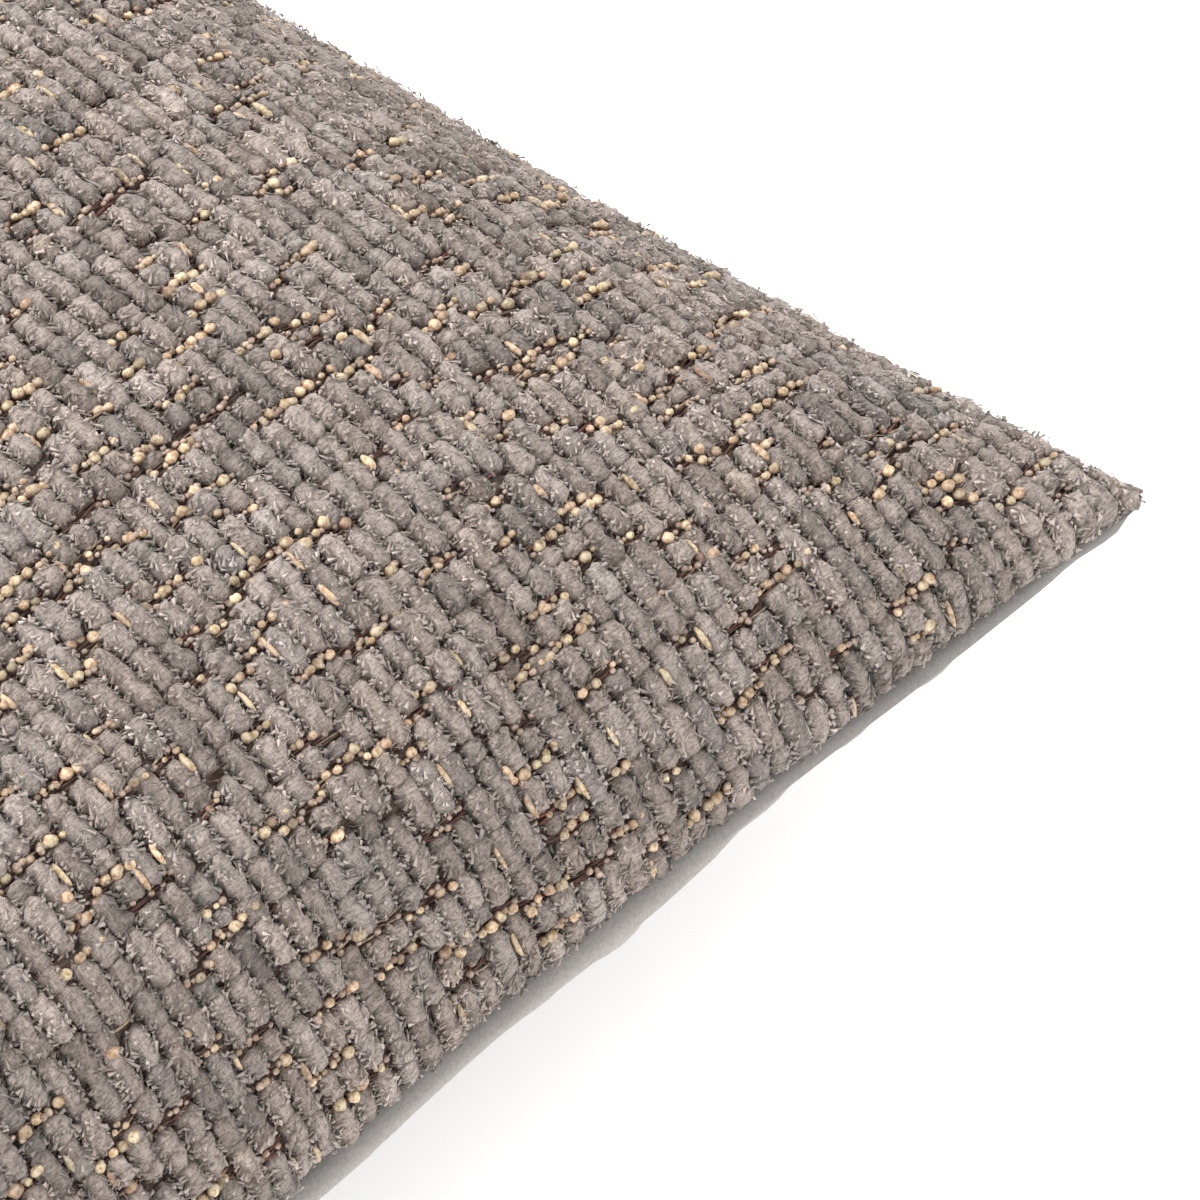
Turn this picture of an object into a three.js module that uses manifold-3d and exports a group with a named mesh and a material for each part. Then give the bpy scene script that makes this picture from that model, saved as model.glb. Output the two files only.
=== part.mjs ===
// Square throw pillow with a removable zipped cover and a filled insert.
//
// Units are millimetres and +Z is up. The pillow lies flat on its back panel. The origin is on
// the surface it lies on, below the middle of the square. The chenille front panel is on top,
// and the zip runs along the -Y side, in the seam between the front and the back panel.
//
// Each soft piece is a closed body made of rings. A ring follows the square outline of the
// pillow, scaled towards the middle and lifted by the crown, and neighbouring rings are joined
// by quads. The zip and the stitching are strips, bars and small extrusions.

import * as THREE from 'three';
import { mergeVertices } from 'three/addons/utils/BufferGeometryUtils.js';
import Module from 'manifold-3d';

// ---------------------------------------------------------------- driving dimensions

const COVER_WIDTH = 457;          // corner to corner along one side, an 18 inch cover
const SEAM_HEIGHT = 55;           // of the edge seam above the surface it lies on
const FRONT_CROWN = 73;           // middle of the front above the seam
const BACK_CROWN = 68;            // how far the back would bulge down if nothing held it flat
const SIDE_PULL = 18;             // how far a sewn side pulls in at its middle
const ZIP_PULL = 11;              // how far the zipped side pulls in along the zip
const CROWN_POWER = 2.5;          // higher makes the top flatter and the flanks steeper
const CROWN_ROUNDNESS = 0.56;     // lower makes the flanks fuller at the seam

const FRONT_THICKNESS = 3.0;      // chenille fabric with its pile
const BACK_THICKNESS = 1.6;       // plain woven back
const ALLOWANCE_WIDTH = 18;       // seam allowance turned to the inside
const ALLOWANCE_THICKNESS = 1.2;
const ALLOWANCE_FOLD_INSET = 4;   // where the allowance parts from the panel it belongs to
const SEAM_HALF_GAP = 0.6;        // from the seam plane to each panel on the sewn sides

const INSERT_INSET = 20;          // from the cover's outline to the insert's outline
const INSERT_SLACK = 2.5;         // between the insert's crown and the cover
const CASING_THICKNESS = 0.8;
const CASING_ALLOWANCE = 8;
const CASING_FOLD_INSET = 3.5;    // where the casing's allowance parts from its panel
const CASING_HALF_GAP = 0.6;
const PIECE_GAP = 0.6;            // kept between soft pieces that rest on each other
const FILLING_INSET = 10;         // from the insert's outline to the filling's

const THREAD = 0.5;               // thickness of all sewing thread
const SEAM_THREAD_INSET = 1.2;    // of the seam's stitches from the cover's outline
const OVERLOCK_WIDTH = 4;         // of the stitches over the allowance's raw edges
const INSERT_STITCH_INSET = 3;    // of the insert's stitches from its own outline

const ZIP_LENGTH = 300;           // between the stops
const TAPE_LENGTH = 330;
const TAPE_INSET = 6.6;           // outer edge of each tape, from the cover's outline
const TAPE_WIDTH = 11;
const TAPE_HEIGHT = 1.3;          // underside of the front tape above the seam plane
const TAPE_THICKNESS = 0.6;
const TAPE_STITCH_GAP = 0.3;      // between the tape and the stitches under it
const TAPE_STITCH_END = 4;        // of the stitches from the tape's ends
const COIL_INSET = 4.2;
const COIL_WIDTH = 2.0;
const COIL_HALF_GAP = 0.3;        // from the seam plane to each coil
const COIL_HEIGHT = 1.8;
const COIL_TAIL = 3;              // of the coil past the stops
const STOP_LENGTH = 2.4;
const STOP_THICKNESS = 0.6;
const STOP_GAP = 0.3;             // between a stop and the coil behind it

const LIP_HALF_GAP = 1.3;         // half the slit between the two panels along the zip
const LIP_DEPTH = 2.2;            // how deep the slit is before it opens into the coil's space
const COIL_SPACE_HALF_HEIGHT = 4.0;
const COIL_SPACE_DEPTH = 7.8;
const TAPE_SPACE_HALF_HEIGHT = 2.3;
const ZIP_ALLOWANCE_TOP = 5.2;
const SPACE_STEP = 0.1;           // over which the space behind the slit changes its height

const SLIDER_LENGTH = 9;
const SLIDER_WALL = 0.7;
const SLIDER_FRONT_CLEARANCE = 1.1; // between the coils and the channel's front wall
const SLIDER_SIDE_CLEARANCE = 0.35; // between the coils and the channel's side walls
const SLIDER_STOP_GAP = 0.4;      // between the closed slider and the top stops
const SLIDER_FACE_WIDTH = 5.6;
const SLIDER_FACE_INSIDE = 0.4;   // outward of the cover's outline
const SLIDER_FACE_OUTSIDE = 1.4;
const SLIDER_FACE_BEVEL_WIDTH = 0.6;
const SLIDER_FACE_BEVEL_DEPTH = 0.3;
const SLIDER_NECK_HALF_HEIGHT = 0.7;
const EAR_THICKNESS = 0.7;        // of the two ears that carry the pull's pin
const EAR_HALF_LENGTH = 1.2;
const EAR_MARGIN = 1.0;           // of each ear beyond the pin's axis
const EAR_SINK = 0.3;             // of each ear into the slider's face
const PIN_RADIUS = 0.6;
const PIN_END_INSET = 0.2;        // of the pin's ends from the ears' outer sides
const PIN_STANDOFF = 1.5;         // of the pin's axis from the slider's face
const PULL_LENGTH = 24;           // from the pin's axis to the rounded end
const PULL_WIDTH = 5;
const PULL_THICKNESS = 1.1;
const PULL_NECK_LENGTH = 2.6;     // from the pin's axis to where the pull widens
const PULL_SHOULDER_LENGTH = 1.0;
const PULL_HOLE_RADIUS = 1.2;
const PULL_HOLE_SHIFT = 0.6;      // of the hole from the middle of the rounded end
const EYE_RADIUS = 1.2;           // outside of the pull's eye round the pin
const EYE_CLEARANCE = 0.3;        // between the pin and the eye

const CYLINDER_SIDES = 24;
const ARC_SEGMENTS = 8;

// ---------------------------------------------------------------- outline and crown

const HALF_WIDTH = COVER_WIDTH / 2;

// Stations along one side, as a share of half its length. The zipped stretch of the -Y side
// is straight, ZIP_STRAIGHT is where that stretch ends, and the stitches of the sewn seam reach
// from SEAM_START round the other three sides.
const ZIP_STRAIGHT = 0.8;
const SEAM_START = 0.92;
const STATIONS = [
  -1, -SEAM_START, -ZIP_STRAIGHT, -0.6, -0.3, 0, 0.3, 0.6, ZIP_STRAIGHT, SEAM_START,
];
const PANEL_RINGS = [0.25, 0.5, 0.7, 0.85, 0.95];

// The outline's points, counter-clockwise from above, in a square that reaches from -1 to 1.
const OUTLINE = [
  ...STATIONS.map((s) => [s, -1]),
  ...STATIONS.map((s) => [1, s]),
  ...STATIONS.map((s) => [-s, 1]),
  ...STATIONS.map((s) => [-1, -s]),
];

function zipPull(s) {
  const past = Math.max(0, (Math.abs(s) - ZIP_STRAIGHT) / (1 - ZIP_STRAIGHT));
  return ZIP_PULL * (1 - past * past);
}

function endPull(s, t) {
  const sewn = SIDE_PULL * (1 - s * s);
  const zipShare = THREE.MathUtils.smoothstep(-t, 0, 1);
  return THREE.MathUtils.lerp(sewn, zipPull(s), zipShare);
}

// Where the square's point (s, t) lies from above, for a pillow of the given half width.
function place(s, t, halfWidth) {
  return [s * (halfWidth - SIDE_PULL * (1 - t * t)), t * (halfWidth - endPull(s, t))];
}

// 1 in the middle of the pillow and 0 on its outline.
function crownShare(s, t) {
  const across = 1 - Math.abs(s) ** CROWN_POWER;
  const along = 1 - Math.abs(t) ** CROWN_POWER;
  return Math.max(0, across * along) ** CROWN_ROUNDNESS;
}

// A side of a soft piece: how wide it is, how far it rises from the seam plane, and the height
// at which it is held flat. The front rises and the back goes down to its floor.
function frontSide(halfWidth, crown) {
  return { halfWidth, height: (share) => SEAM_HEIGHT + crown * share };
}

function backSide(halfWidth, crown, floor) {
  return { halfWidth, height: (share) => Math.max(floor, SEAM_HEIGHT - crown * share) };
}

function sideRing(side, scale) {
  return OUTLINE.map(([s, t]) => {
    const [x, y] = place(s * scale, t * scale, side.halfWidth);
    return [x, y, side.height(crownShare(s * scale, t * scale))];
  });
}

function sideMiddle(side) {
  return [0, 0, side.height(1)];
}

function isZipped([s, t]) {
  return t === -1 && Math.abs(s) <= ZIP_STRAIGHT + 1e-9;
}

// A ring parallel to the outline, in the seam's own region. Its height above or below the
// seam plane differs between the sewn sides and the zipped stretch.
function seamRing(inset, direction, sewnHeight, zippedHeight = sewnHeight) {
  return OUTLINE.map((point) => {
    const [x, y] = place(point[0], point[1], HALF_WIDTH - inset);
    const height = isZipped(point) ? zippedHeight : sewnHeight;
    return [x, y, SEAM_HEIGHT + direction * height];
  });
}

// ---------------------------------------------------------------- mesh helpers

// A closed body from rings of equal length, capped by a fan at a middle point on each end.
// The rings run from the first middle outwards and back to the last middle. Seen from the
// first middle's outside they are counter-clockwise.
function ringBody(firstMiddle, rings, lastMiddle) {
  const count = rings[0].length;
  const points = [firstMiddle, ...rings.flat(), lastMiddle];
  const last = points.length - 1;
  const triangles = [];
  const at = (ring, i) => 1 + ring * count + (i % count);
  for (let i = 0; i < count; i += 1) {
    triangles.push(0, at(0, i), at(0, i + 1));
    for (let ring = 0; ring + 1 < rings.length; ring += 1) {
      const [a, b] = [at(ring, i), at(ring, i + 1)];
      const [c, d] = [at(ring + 1, i), at(ring + 1, i + 1)];
      triangles.push(a, c, d, a, d, b);
    }
    triangles.push(last, at(rings.length - 1, i + 1), at(rings.length - 1, i));
  }
  return indexedGeometry(points, triangles);
}

// A closed strip with a rectangular section, swept along two parallel lines of points: the
// outer line and the inner line, from one height to another.
function stripBody(outer, inner, low, high) {
  const count = outer.length;
  const corners = [[outer, low], [inner, low], [inner, high], [outer, high]];
  const points = corners.flatMap(([line, z]) => line.map(([x, y]) => [x, y, z]));
  const at = (corner, i) => (corner % 4) * count + i;
  const triangles = [];
  for (let corner = 0; corner < 4; corner += 1) {
    for (let i = 0; i + 1 < count; i += 1) {
      const [a, b] = [at(corner, i), at(corner, i + 1)];
      const [c, d] = [at(corner + 1, i), at(corner + 1, i + 1)];
      triangles.push(a, c, d, a, d, b);
    }
  }
  const end = count - 1;
  triangles.push(at(0, 0), at(3, 0), at(2, 0), at(0, 0), at(2, 0), at(1, 0));
  triangles.push(at(0, end), at(1, end), at(2, end), at(0, end), at(2, end), at(3, end));
  return indexedGeometry(points, triangles);
}

function indexedGeometry(points, triangles) {
  const geometry = new THREE.BufferGeometry();
  geometry.setAttribute('position', new THREE.Float32BufferAttribute(points.flat(), 3));
  geometry.setIndex(triangles);
  geometry.computeVertexNormals();
  return geometry;
}

// A box by its lowest and highest corners.
function boxBetween(low, high) {
  const size = high.map((value, axis) => value - low[axis]);
  const geometry = new THREE.BoxGeometry(...size);
  geometry.translate(...high.map((value, axis) => (value + low[axis]) / 2));
  return geometry;
}

// ---------------------------------------------------------------- joins and cuts

const wasm = await Module();
wasm.setup();

function toSolid(geometry) {
  const bare = geometry.clone();
  bare.deleteAttribute('normal');
  bare.deleteAttribute('uv');
  const merged = mergeVertices(bare);
  const mesh = new wasm.Mesh({
    numProp: 3,
    vertProperties: Float32Array.from(merged.attributes.position.array),
    triVerts: Uint32Array.from(merged.index.array),
  });
  return new wasm.Manifold(mesh);
}

function fromSolid(solid) {
  const mesh = solid.getMesh();
  const geometry = new THREE.BufferGeometry();
  geometry.setAttribute('position', new THREE.BufferAttribute(mesh.vertProperties, 3));
  geometry.setIndex(new THREE.BufferAttribute(mesh.triVerts, 1));
  geometry.computeVertexNormals();
  return geometry;
}

// An upright cylinder by its axis's x and y and its lowest and highest z.
function uprightCylinder(radius, x, y, low, high) {
  const geometry = new THREE.CylinderGeometry(radius, radius, high - low, CYLINDER_SIDES);
  geometry.rotateX(Math.PI / 2);
  geometry.translate(x, y, (low + high) / 2);
  return geometry;
}

// ---------------------------------------------------------------- materials

function finish(color, roughness, metalness = 0) {
  return new THREE.MeshStandardMaterial({ color, roughness, metalness });
}

const CHENILLE = finish(0x9a928d, 0.95);
const BACK_FABRIC = finish(0xb5b1ad, 0.9);
const SEWING_THREAD = finish(0x8a8480, 0.7);
const ZIP_TAPE = finish(0x8d8884, 0.85);
const ZIP_COIL = finish(0x77726e, 0.5);
const ZIP_METAL = finish(0x8f8d8a, 0.35, 0.9);
const CASING_FABRIC = finish(0xe9e7e2, 0.9);
const POLYESTER_FIBRE = finish(0xf4f3f0, 1.0);

const pillow = new THREE.Group();

function add(name, geometry, material) {
  const mesh = new THREE.Mesh(geometry, material);
  mesh.name = name;
  pillow.add(mesh);
}

// ---------------------------------------------------------------- cover panels

// The rings of a panel's seam allowance, from the outline inwards along the seam plane and
// back outwards on the inside of the cover. Along the zip the panel ends in a lip, and behind
// the lip its allowance is lifted clear of the coil and then of the tape.
function allowanceRings(direction) {
  const inner = ALLOWANCE_WIDTH;
  const foldTop = SEAM_HALF_GAP + ALLOWANCE_THICKNESS;
  return [
    seamRing(0, direction, SEAM_HALF_GAP, LIP_HALF_GAP),
    seamRing(LIP_DEPTH, direction, SEAM_HALF_GAP, LIP_HALF_GAP),
    seamRing(LIP_DEPTH + SPACE_STEP, direction, SEAM_HALF_GAP, COIL_SPACE_HALF_HEIGHT),
    seamRing(COIL_SPACE_DEPTH, direction, SEAM_HALF_GAP, COIL_SPACE_HALF_HEIGHT),
    seamRing(COIL_SPACE_DEPTH + SPACE_STEP, direction, SEAM_HALF_GAP, TAPE_SPACE_HALF_HEIGHT),
    seamRing(inner, direction, SEAM_HALF_GAP, TAPE_SPACE_HALF_HEIGHT),
    seamRing(inner, direction, foldTop, ZIP_ALLOWANCE_TOP),
    seamRing(ALLOWANCE_FOLD_INSET, direction, foldTop, ZIP_ALLOWANCE_TOP),
  ];
}

function panelBody(outerSide, innerSide, direction) {
  const outward = PANEL_RINGS.map((scale) => sideRing(outerSide, scale));
  const inward = [...PANEL_RINGS].reverse().map((scale) => sideRing(innerSide, scale));
  const rings = [...outward, ...allowanceRings(direction), ...inward];
  const body = ringBody(sideMiddle(outerSide), rings, sideMiddle(innerSide));
  return direction > 0 ? body : flipped(body);
}

function flipped(geometry) {
  const index = Array.from(geometry.index.array);
  for (let i = 0; i < index.length; i += 3) {
    [index[i], index[i + 1]] = [index[i + 1], index[i]];
  }
  geometry.setIndex(index);
  geometry.computeVertexNormals();
  return geometry;
}

const coverFront = frontSide(HALF_WIDTH, FRONT_CROWN);
const coverFrontInside = frontSide(HALF_WIDTH - FRONT_THICKNESS, FRONT_CROWN - FRONT_THICKNESS);
const coverBack = backSide(HALF_WIDTH, BACK_CROWN, 0);
const coverBackInside = backSide(
  HALF_WIDTH - FRONT_THICKNESS, BACK_CROWN - BACK_THICKNESS, BACK_THICKNESS);

add('front_panel', panelBody(coverFront, coverFrontInside, 1), CHENILLE);
add('back_panel', panelBody(coverBack, coverBackInside, -1), BACK_FABRIC);

// ---------------------------------------------------------------- insert

const insertHalfWidth = HALF_WIDTH - INSERT_INSET;
const insertTopCrown = FRONT_CROWN - FRONT_THICKNESS - INSERT_SLACK;
const insertBackCrown = BACK_CROWN - BACK_THICKNESS - INSERT_SLACK;
const insertFloor = BACK_THICKNESS + PIECE_GAP;
const casingFloor = insertFloor + CASING_THICKNESS;

function casingBody(outerSide, innerSide, direction) {
  const inset = INSERT_INSET;
  const top = CASING_HALF_GAP + CASING_THICKNESS;
  const outward = PANEL_RINGS.map((scale) => sideRing(outerSide, scale));
  const allowance = [
    seamRing(inset, direction, CASING_HALF_GAP),
    seamRing(inset + CASING_ALLOWANCE, direction, CASING_HALF_GAP),
    seamRing(inset + CASING_ALLOWANCE, direction, top),
    seamRing(inset + CASING_FOLD_INSET, direction, top),
  ];
  const inward = [...PANEL_RINGS].reverse().map((scale) => sideRing(innerSide, scale));
  const rings = [...outward, ...allowance, ...inward];
  const body = ringBody(sideMiddle(outerSide), rings, sideMiddle(innerSide));
  return direction > 0 ? body : flipped(body);
}

const casingTop = frontSide(insertHalfWidth, insertTopCrown);
const casingTopInside = frontSide(
  insertHalfWidth - CASING_THICKNESS, insertTopCrown - CASING_THICKNESS);
const casingBottom = backSide(insertHalfWidth, insertBackCrown, insertFloor);
const casingBottomInside = backSide(
  insertHalfWidth - CASING_THICKNESS, insertBackCrown - CASING_THICKNESS, casingFloor);

add('insert_casing_top', casingBody(casingTop, casingTopInside, 1), CASING_FABRIC);
add('insert_casing_bottom', casingBody(casingBottom, casingBottomInside, -1), CASING_FABRIC);

const fillingHalfWidth = insertHalfWidth - FILLING_INSET;
const fillingTop = frontSide(fillingHalfWidth, insertTopCrown - CASING_THICKNESS - PIECE_GAP);
const fillingBottom = backSide(
  fillingHalfWidth, insertBackCrown - CASING_THICKNESS - PIECE_GAP, casingFloor + PIECE_GAP);
const fillingRings = [
  ...PANEL_RINGS.map((scale) => sideRing(fillingTop, scale)),
  sideRing(fillingTop, 1),
  ...[...PANEL_RINGS].reverse().map((scale) => sideRing(fillingBottom, scale)),
];
add(
  'insert_filling',
  ringBody(sideMiddle(fillingTop), fillingRings, sideMiddle(fillingBottom)),
  POLYESTER_FIBRE,
);

// ---------------------------------------------------------------- stitching

// A line parallel to the outline that leaves out the zipped stretch: it starts past the zip's
// end on the -Y side, goes round the three sewn sides and ends before the zip's other end.
function sewnLine(inset) {
  const line = OUTLINE.map(([s, t]) => place(s, t, HALF_WIDTH - inset));
  const afterZip = STATIONS.indexOf(SEAM_START);
  const beforeZip = STATIONS.indexOf(-SEAM_START);
  return [...line.slice(afterZip), ...line.slice(0, beforeZip + 1)];
}

function threadAlong(outerLine, innerLine, height, thickness) {
  const middle = SEAM_HEIGHT + height;
  return stripBody(outerLine, innerLine, middle - thickness / 2, middle + thickness / 2);
}

add(
  'seam_thread',
  threadAlong(sewnLine(SEAM_THREAD_INSET), sewnLine(SEAM_THREAD_INSET + THREAD), 0, THREAD),
  SEWING_THREAD,
);

const overlockInset = ALLOWANCE_WIDTH - OVERLOCK_WIDTH;
add(
  'overlock_thread',
  threadAlong(sewnLine(overlockInset), sewnLine(ALLOWANCE_WIDTH), 0, THREAD),
  SEWING_THREAD,
);

// The insert's seam runs round three sides. The fourth side, at +Y, is sewn shut last.
function insertLine(inset, start, end) {
  const line = OUTLINE.map(([s, t]) => place(s, t, insertHalfWidth - inset));
  return [...line, ...line].slice(start, end);
}

const perSide = STATIONS.length;
const closingStart = 2 * perSide + 1;
const closingEnd = 3 * perSide;
const insertSeam = (inset) => insertLine(inset, closingEnd, 4 * perSide + closingStart);
const closingSeam = (inset) => insertLine(inset, closingStart + 1, closingEnd - 1);
add(
  'insert_seam_thread',
  threadAlong(
    insertSeam(INSERT_STITCH_INSET), insertSeam(INSERT_STITCH_INSET + THREAD), 0, THREAD),
  SEWING_THREAD,
);
add(
  'insert_closing_stitch',
  threadAlong(
    closingSeam(INSERT_STITCH_INSET), closingSeam(INSERT_STITCH_INSET + THREAD), 0, THREAD),
  SEWING_THREAD,
);

// ---------------------------------------------------------------- zip

// The zip's own coordinates: x along the zip, depth into the pillow from the cover's outline,
// and height above the seam plane.
const zipOutlineY = -(HALF_WIDTH - ZIP_PULL);

function zipBox([x0, depth0, height0], [x1, depth1, height1]) {
  const low = [x0, zipOutlineY + depth0, SEAM_HEIGHT + Math.min(height0, height1)];
  const high = [x1, zipOutlineY + depth1, SEAM_HEIGHT + Math.max(height0, height1)];
  return boxBetween(low, high);
}

const zipEnd = ZIP_LENGTH / 2;
const coilHalfLength = zipEnd + STOP_LENGTH + COIL_TAIL;
const coilTop = COIL_HALF_GAP + COIL_HEIGHT;
const stopInside = COIL_INSET - STOP_GAP;
const stopOutside = stopInside - STOP_THICKNESS;
const tapeHalfLength = TAPE_LENGTH / 2;

for (const [label, direction] of [['front', 1], ['back', -1]]) {
  add(
    `zip_tape_${label}`,
    zipBox(
      [-tapeHalfLength, TAPE_INSET, direction * TAPE_HEIGHT],
      [tapeHalfLength, TAPE_INSET + TAPE_WIDTH, direction * (TAPE_HEIGHT + TAPE_THICKNESS)]),
    ZIP_TAPE,
  );
  add(
    `zip_coil_${label}`,
    zipBox(
      [-coilHalfLength, COIL_INSET, direction * COIL_HALF_GAP],
      [coilHalfLength, COIL_INSET + COIL_WIDTH, direction * coilTop]),
    ZIP_COIL,
  );
  const stitchDepth = TAPE_INSET + TAPE_WIDTH / 2;
  const stitchEnd = tapeHalfLength - TAPE_STITCH_END;
  const stitchTop = TAPE_HEIGHT - TAPE_STITCH_GAP;
  add(
    `zip_stitching_${label}`,
    zipBox(
      [-stitchEnd, stitchDepth, direction * (stitchTop - THREAD)],
      [stitchEnd, stitchDepth + THREAD, direction * stitchTop]),
    SEWING_THREAD,
  );
  add(
    `zip_top_stop_${label}`,
    zipBox(
      [zipEnd, stopOutside, direction * COIL_HALF_GAP],
      [zipEnd + STOP_LENGTH, stopInside, direction * coilTop]),
    ZIP_METAL,
  );
}

// One clip holds both coils together at the end where the slider stops when the zip is open.
add(
  'zip_bottom_stop',
  zipBox(
    [-zipEnd - STOP_LENGTH, stopOutside, -coilTop],
    [-zipEnd, stopInside, coilTop]),
  ZIP_METAL,
);

// ---------------------------------------------------------------- slider and pull

// The slider's section: a channel that holds both coils, a neck that passes out through the
// slit between the panels, and a face outside the slit. Points are [outward, height], with
// outward counted from the cover's outline, so that what lies inside the pillow is negative.
const channelInside = -COIL_INSET + SLIDER_FRONT_CLEARANCE;
const channelBack = -COIL_INSET - COIL_WIDTH;
const channelHalfHeight = coilTop + SLIDER_SIDE_CLEARANCE;
const channelOutsideHalf = channelHalfHeight + SLIDER_WALL;
const channelFront = channelInside + SLIDER_WALL;
const faceHalf = SLIDER_FACE_WIDTH / 2;

const sliderUpperHalf = [
  [SLIDER_FACE_OUTSIDE, faceHalf - SLIDER_FACE_BEVEL_WIDTH],
  [SLIDER_FACE_OUTSIDE - SLIDER_FACE_BEVEL_DEPTH, faceHalf],
  [SLIDER_FACE_INSIDE, faceHalf],
  [SLIDER_FACE_INSIDE, SLIDER_NECK_HALF_HEIGHT],
  [channelFront, SLIDER_NECK_HALF_HEIGHT],
  [channelFront, channelOutsideHalf],
  [channelBack, channelOutsideHalf],
  [channelBack, channelHalfHeight],
  [channelInside, channelHalfHeight],
];
const sliderOutline = [
  ...sliderUpperHalf,
  ...[...sliderUpperHalf].reverse().map(([outward, height]) => [outward, -height]),
];

// An outline of [outward, height] points extruded along the zip from x0 to x1.
function alongZip(outline, x0, x1) {
  const points = outline.map(([outward, height]) => new THREE.Vector2(outward, height));
  const shape = new THREE.Shape(points);
  const geometry = new THREE.ExtrudeGeometry(shape, { depth: x1 - x0, bevelEnabled: false });
  // The shape's own axes (outward, height, depth) become (-Y, +Z, -X).
  const axes = new THREE.Matrix4().makeBasis(
    new THREE.Vector3(0, -1, 0), new THREE.Vector3(0, 0, 1), new THREE.Vector3(-1, 0, 0));
  geometry.applyMatrix4(axes);
  geometry.translate(x1, zipOutlineY, SEAM_HEIGHT);
  return geometry;
}

const sliderHigh = zipEnd - SLIDER_STOP_GAP;
const sliderLow = sliderHigh - SLIDER_LENGTH;
const pinX = (sliderLow + sliderHigh) / 2;
const pinOutward = SLIDER_FACE_OUTSIDE + PIN_STANDOFF;
const pinY = zipOutlineY - pinOutward;
const earReach = pinOutward + EAR_MARGIN;
const earRoot = SLIDER_FACE_OUTSIDE - EAR_SINK;
const pinHalfHeight = faceHalf - PIN_END_INSET;
const eyeHalf = faceHalf - EAR_THICKNESS - EYE_CLEARANCE;

function sliderEar(direction) {
  const [inner, outer] = [faceHalf - EAR_THICKNESS, faceHalf];
  const heights = [direction * inner, direction * outer].sort((a, b) => a - b);
  return boxBetween(
    [pinX - EAR_HALF_LENGTH, zipOutlineY - earReach, SEAM_HEIGHT + heights[0]],
    [pinX + EAR_HALF_LENGTH, zipOutlineY - earRoot, SEAM_HEIGHT + heights[1]]);
}

// The slider's body with two ears outside the slit and the pin between them.
const slider = toSolid(alongZip(sliderOutline, sliderLow, sliderHigh))
  .add(toSolid(sliderEar(1)))
  .add(toSolid(sliderEar(-1)))
  .add(toSolid(uprightCylinder(
    PIN_RADIUS, pinX, pinY, SEAM_HEIGHT - pinHalfHeight, SEAM_HEIGHT + pinHalfHeight)));
add('zip_slider', fromSolid(slider), ZIP_METAL);

// The pull is a flat tab with a rounded end and a hole, seen from outside the zip. It narrows
// to fit between the ears and ends in an eye round the pin.
function pullTab() {
  const half = PULL_WIDTH / 2;
  const neckEnd = -PULL_NECK_LENGTH;
  const shoulderEnd = neckEnd - PULL_SHOULDER_LENGTH;
  const roundCentre = -PULL_LENGTH + half;
  const shape = new THREE.Shape();
  shape.moveTo(0, -eyeHalf);
  shape.lineTo(0, eyeHalf);
  shape.lineTo(neckEnd, eyeHalf);
  shape.lineTo(shoulderEnd, half);
  shape.lineTo(roundCentre, half);
  shape.absarc(roundCentre, 0, half, Math.PI / 2, 3 * Math.PI / 2, false);
  shape.lineTo(shoulderEnd, -half);
  shape.lineTo(neckEnd, -eyeHalf);
  const hole = new THREE.Path();
  const holeCentre = roundCentre + PULL_HOLE_SHIFT;
  hole.absarc(holeCentre, 0, PULL_HOLE_RADIUS, 0, 2 * Math.PI, true);
  shape.holes.push(hole);
  const options = {
    depth: PULL_THICKNESS, bevelEnabled: false, curveSegments: ARC_SEGMENTS,
  };
  const geometry = new THREE.ExtrudeGeometry(shape, options);
  // The shape's own axes (x, y, depth) become (+X, +Z, -Y).
  geometry.applyMatrix4(new THREE.Matrix4().makeBasis(
    new THREE.Vector3(1, 0, 0), new THREE.Vector3(0, 0, 1), new THREE.Vector3(0, -1, 0)));
  geometry.translate(pinX, pinY + PULL_THICKNESS / 2, SEAM_HEIGHT);
  return geometry;
}

const pull = toSolid(pullTab())
  .add(toSolid(uprightCylinder(
    EYE_RADIUS, pinX, pinY, SEAM_HEIGHT - eyeHalf, SEAM_HEIGHT + eyeHalf)))
  .subtract(toSolid(uprightCylinder(
    PIN_RADIUS + EYE_CLEARANCE, pinX, pinY, SEAM_HEIGHT - faceHalf, SEAM_HEIGHT + faceHalf)));
add('zip_pull', fromSolid(pull), ZIP_METAL);

export default pillow;
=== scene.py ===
"""Square chenille throw pillow with a zipped cover, lying on its back.

The front is woven in geometry: tufted chenille floats, straw-coloured slubs and thin dark warp
threads lie on a ground cloth. Everything on the front is placed in fabric coordinates, u along
the ribs and v across them, each from -1 to 1, and then laid over the pillow's crowned shape.
"""

import math

import bpy
import numpy as np
from mathutils import Matrix, Vector


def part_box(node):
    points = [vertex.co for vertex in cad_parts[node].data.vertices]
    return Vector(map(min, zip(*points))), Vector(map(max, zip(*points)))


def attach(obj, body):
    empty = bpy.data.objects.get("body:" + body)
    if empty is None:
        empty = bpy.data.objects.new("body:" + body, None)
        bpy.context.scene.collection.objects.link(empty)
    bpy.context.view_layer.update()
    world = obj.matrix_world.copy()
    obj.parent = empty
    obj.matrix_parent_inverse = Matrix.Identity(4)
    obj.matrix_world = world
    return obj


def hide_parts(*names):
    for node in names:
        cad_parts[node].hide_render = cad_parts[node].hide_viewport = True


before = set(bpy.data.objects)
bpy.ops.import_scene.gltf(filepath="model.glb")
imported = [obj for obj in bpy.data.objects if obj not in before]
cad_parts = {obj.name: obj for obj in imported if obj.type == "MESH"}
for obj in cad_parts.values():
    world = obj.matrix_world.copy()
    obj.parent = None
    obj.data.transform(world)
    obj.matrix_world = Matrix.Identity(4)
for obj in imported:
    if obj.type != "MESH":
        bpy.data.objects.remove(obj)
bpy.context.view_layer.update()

MM = 0.001
rng = np.random.default_rng(457)

# ---------- sizes from the frame

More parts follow.
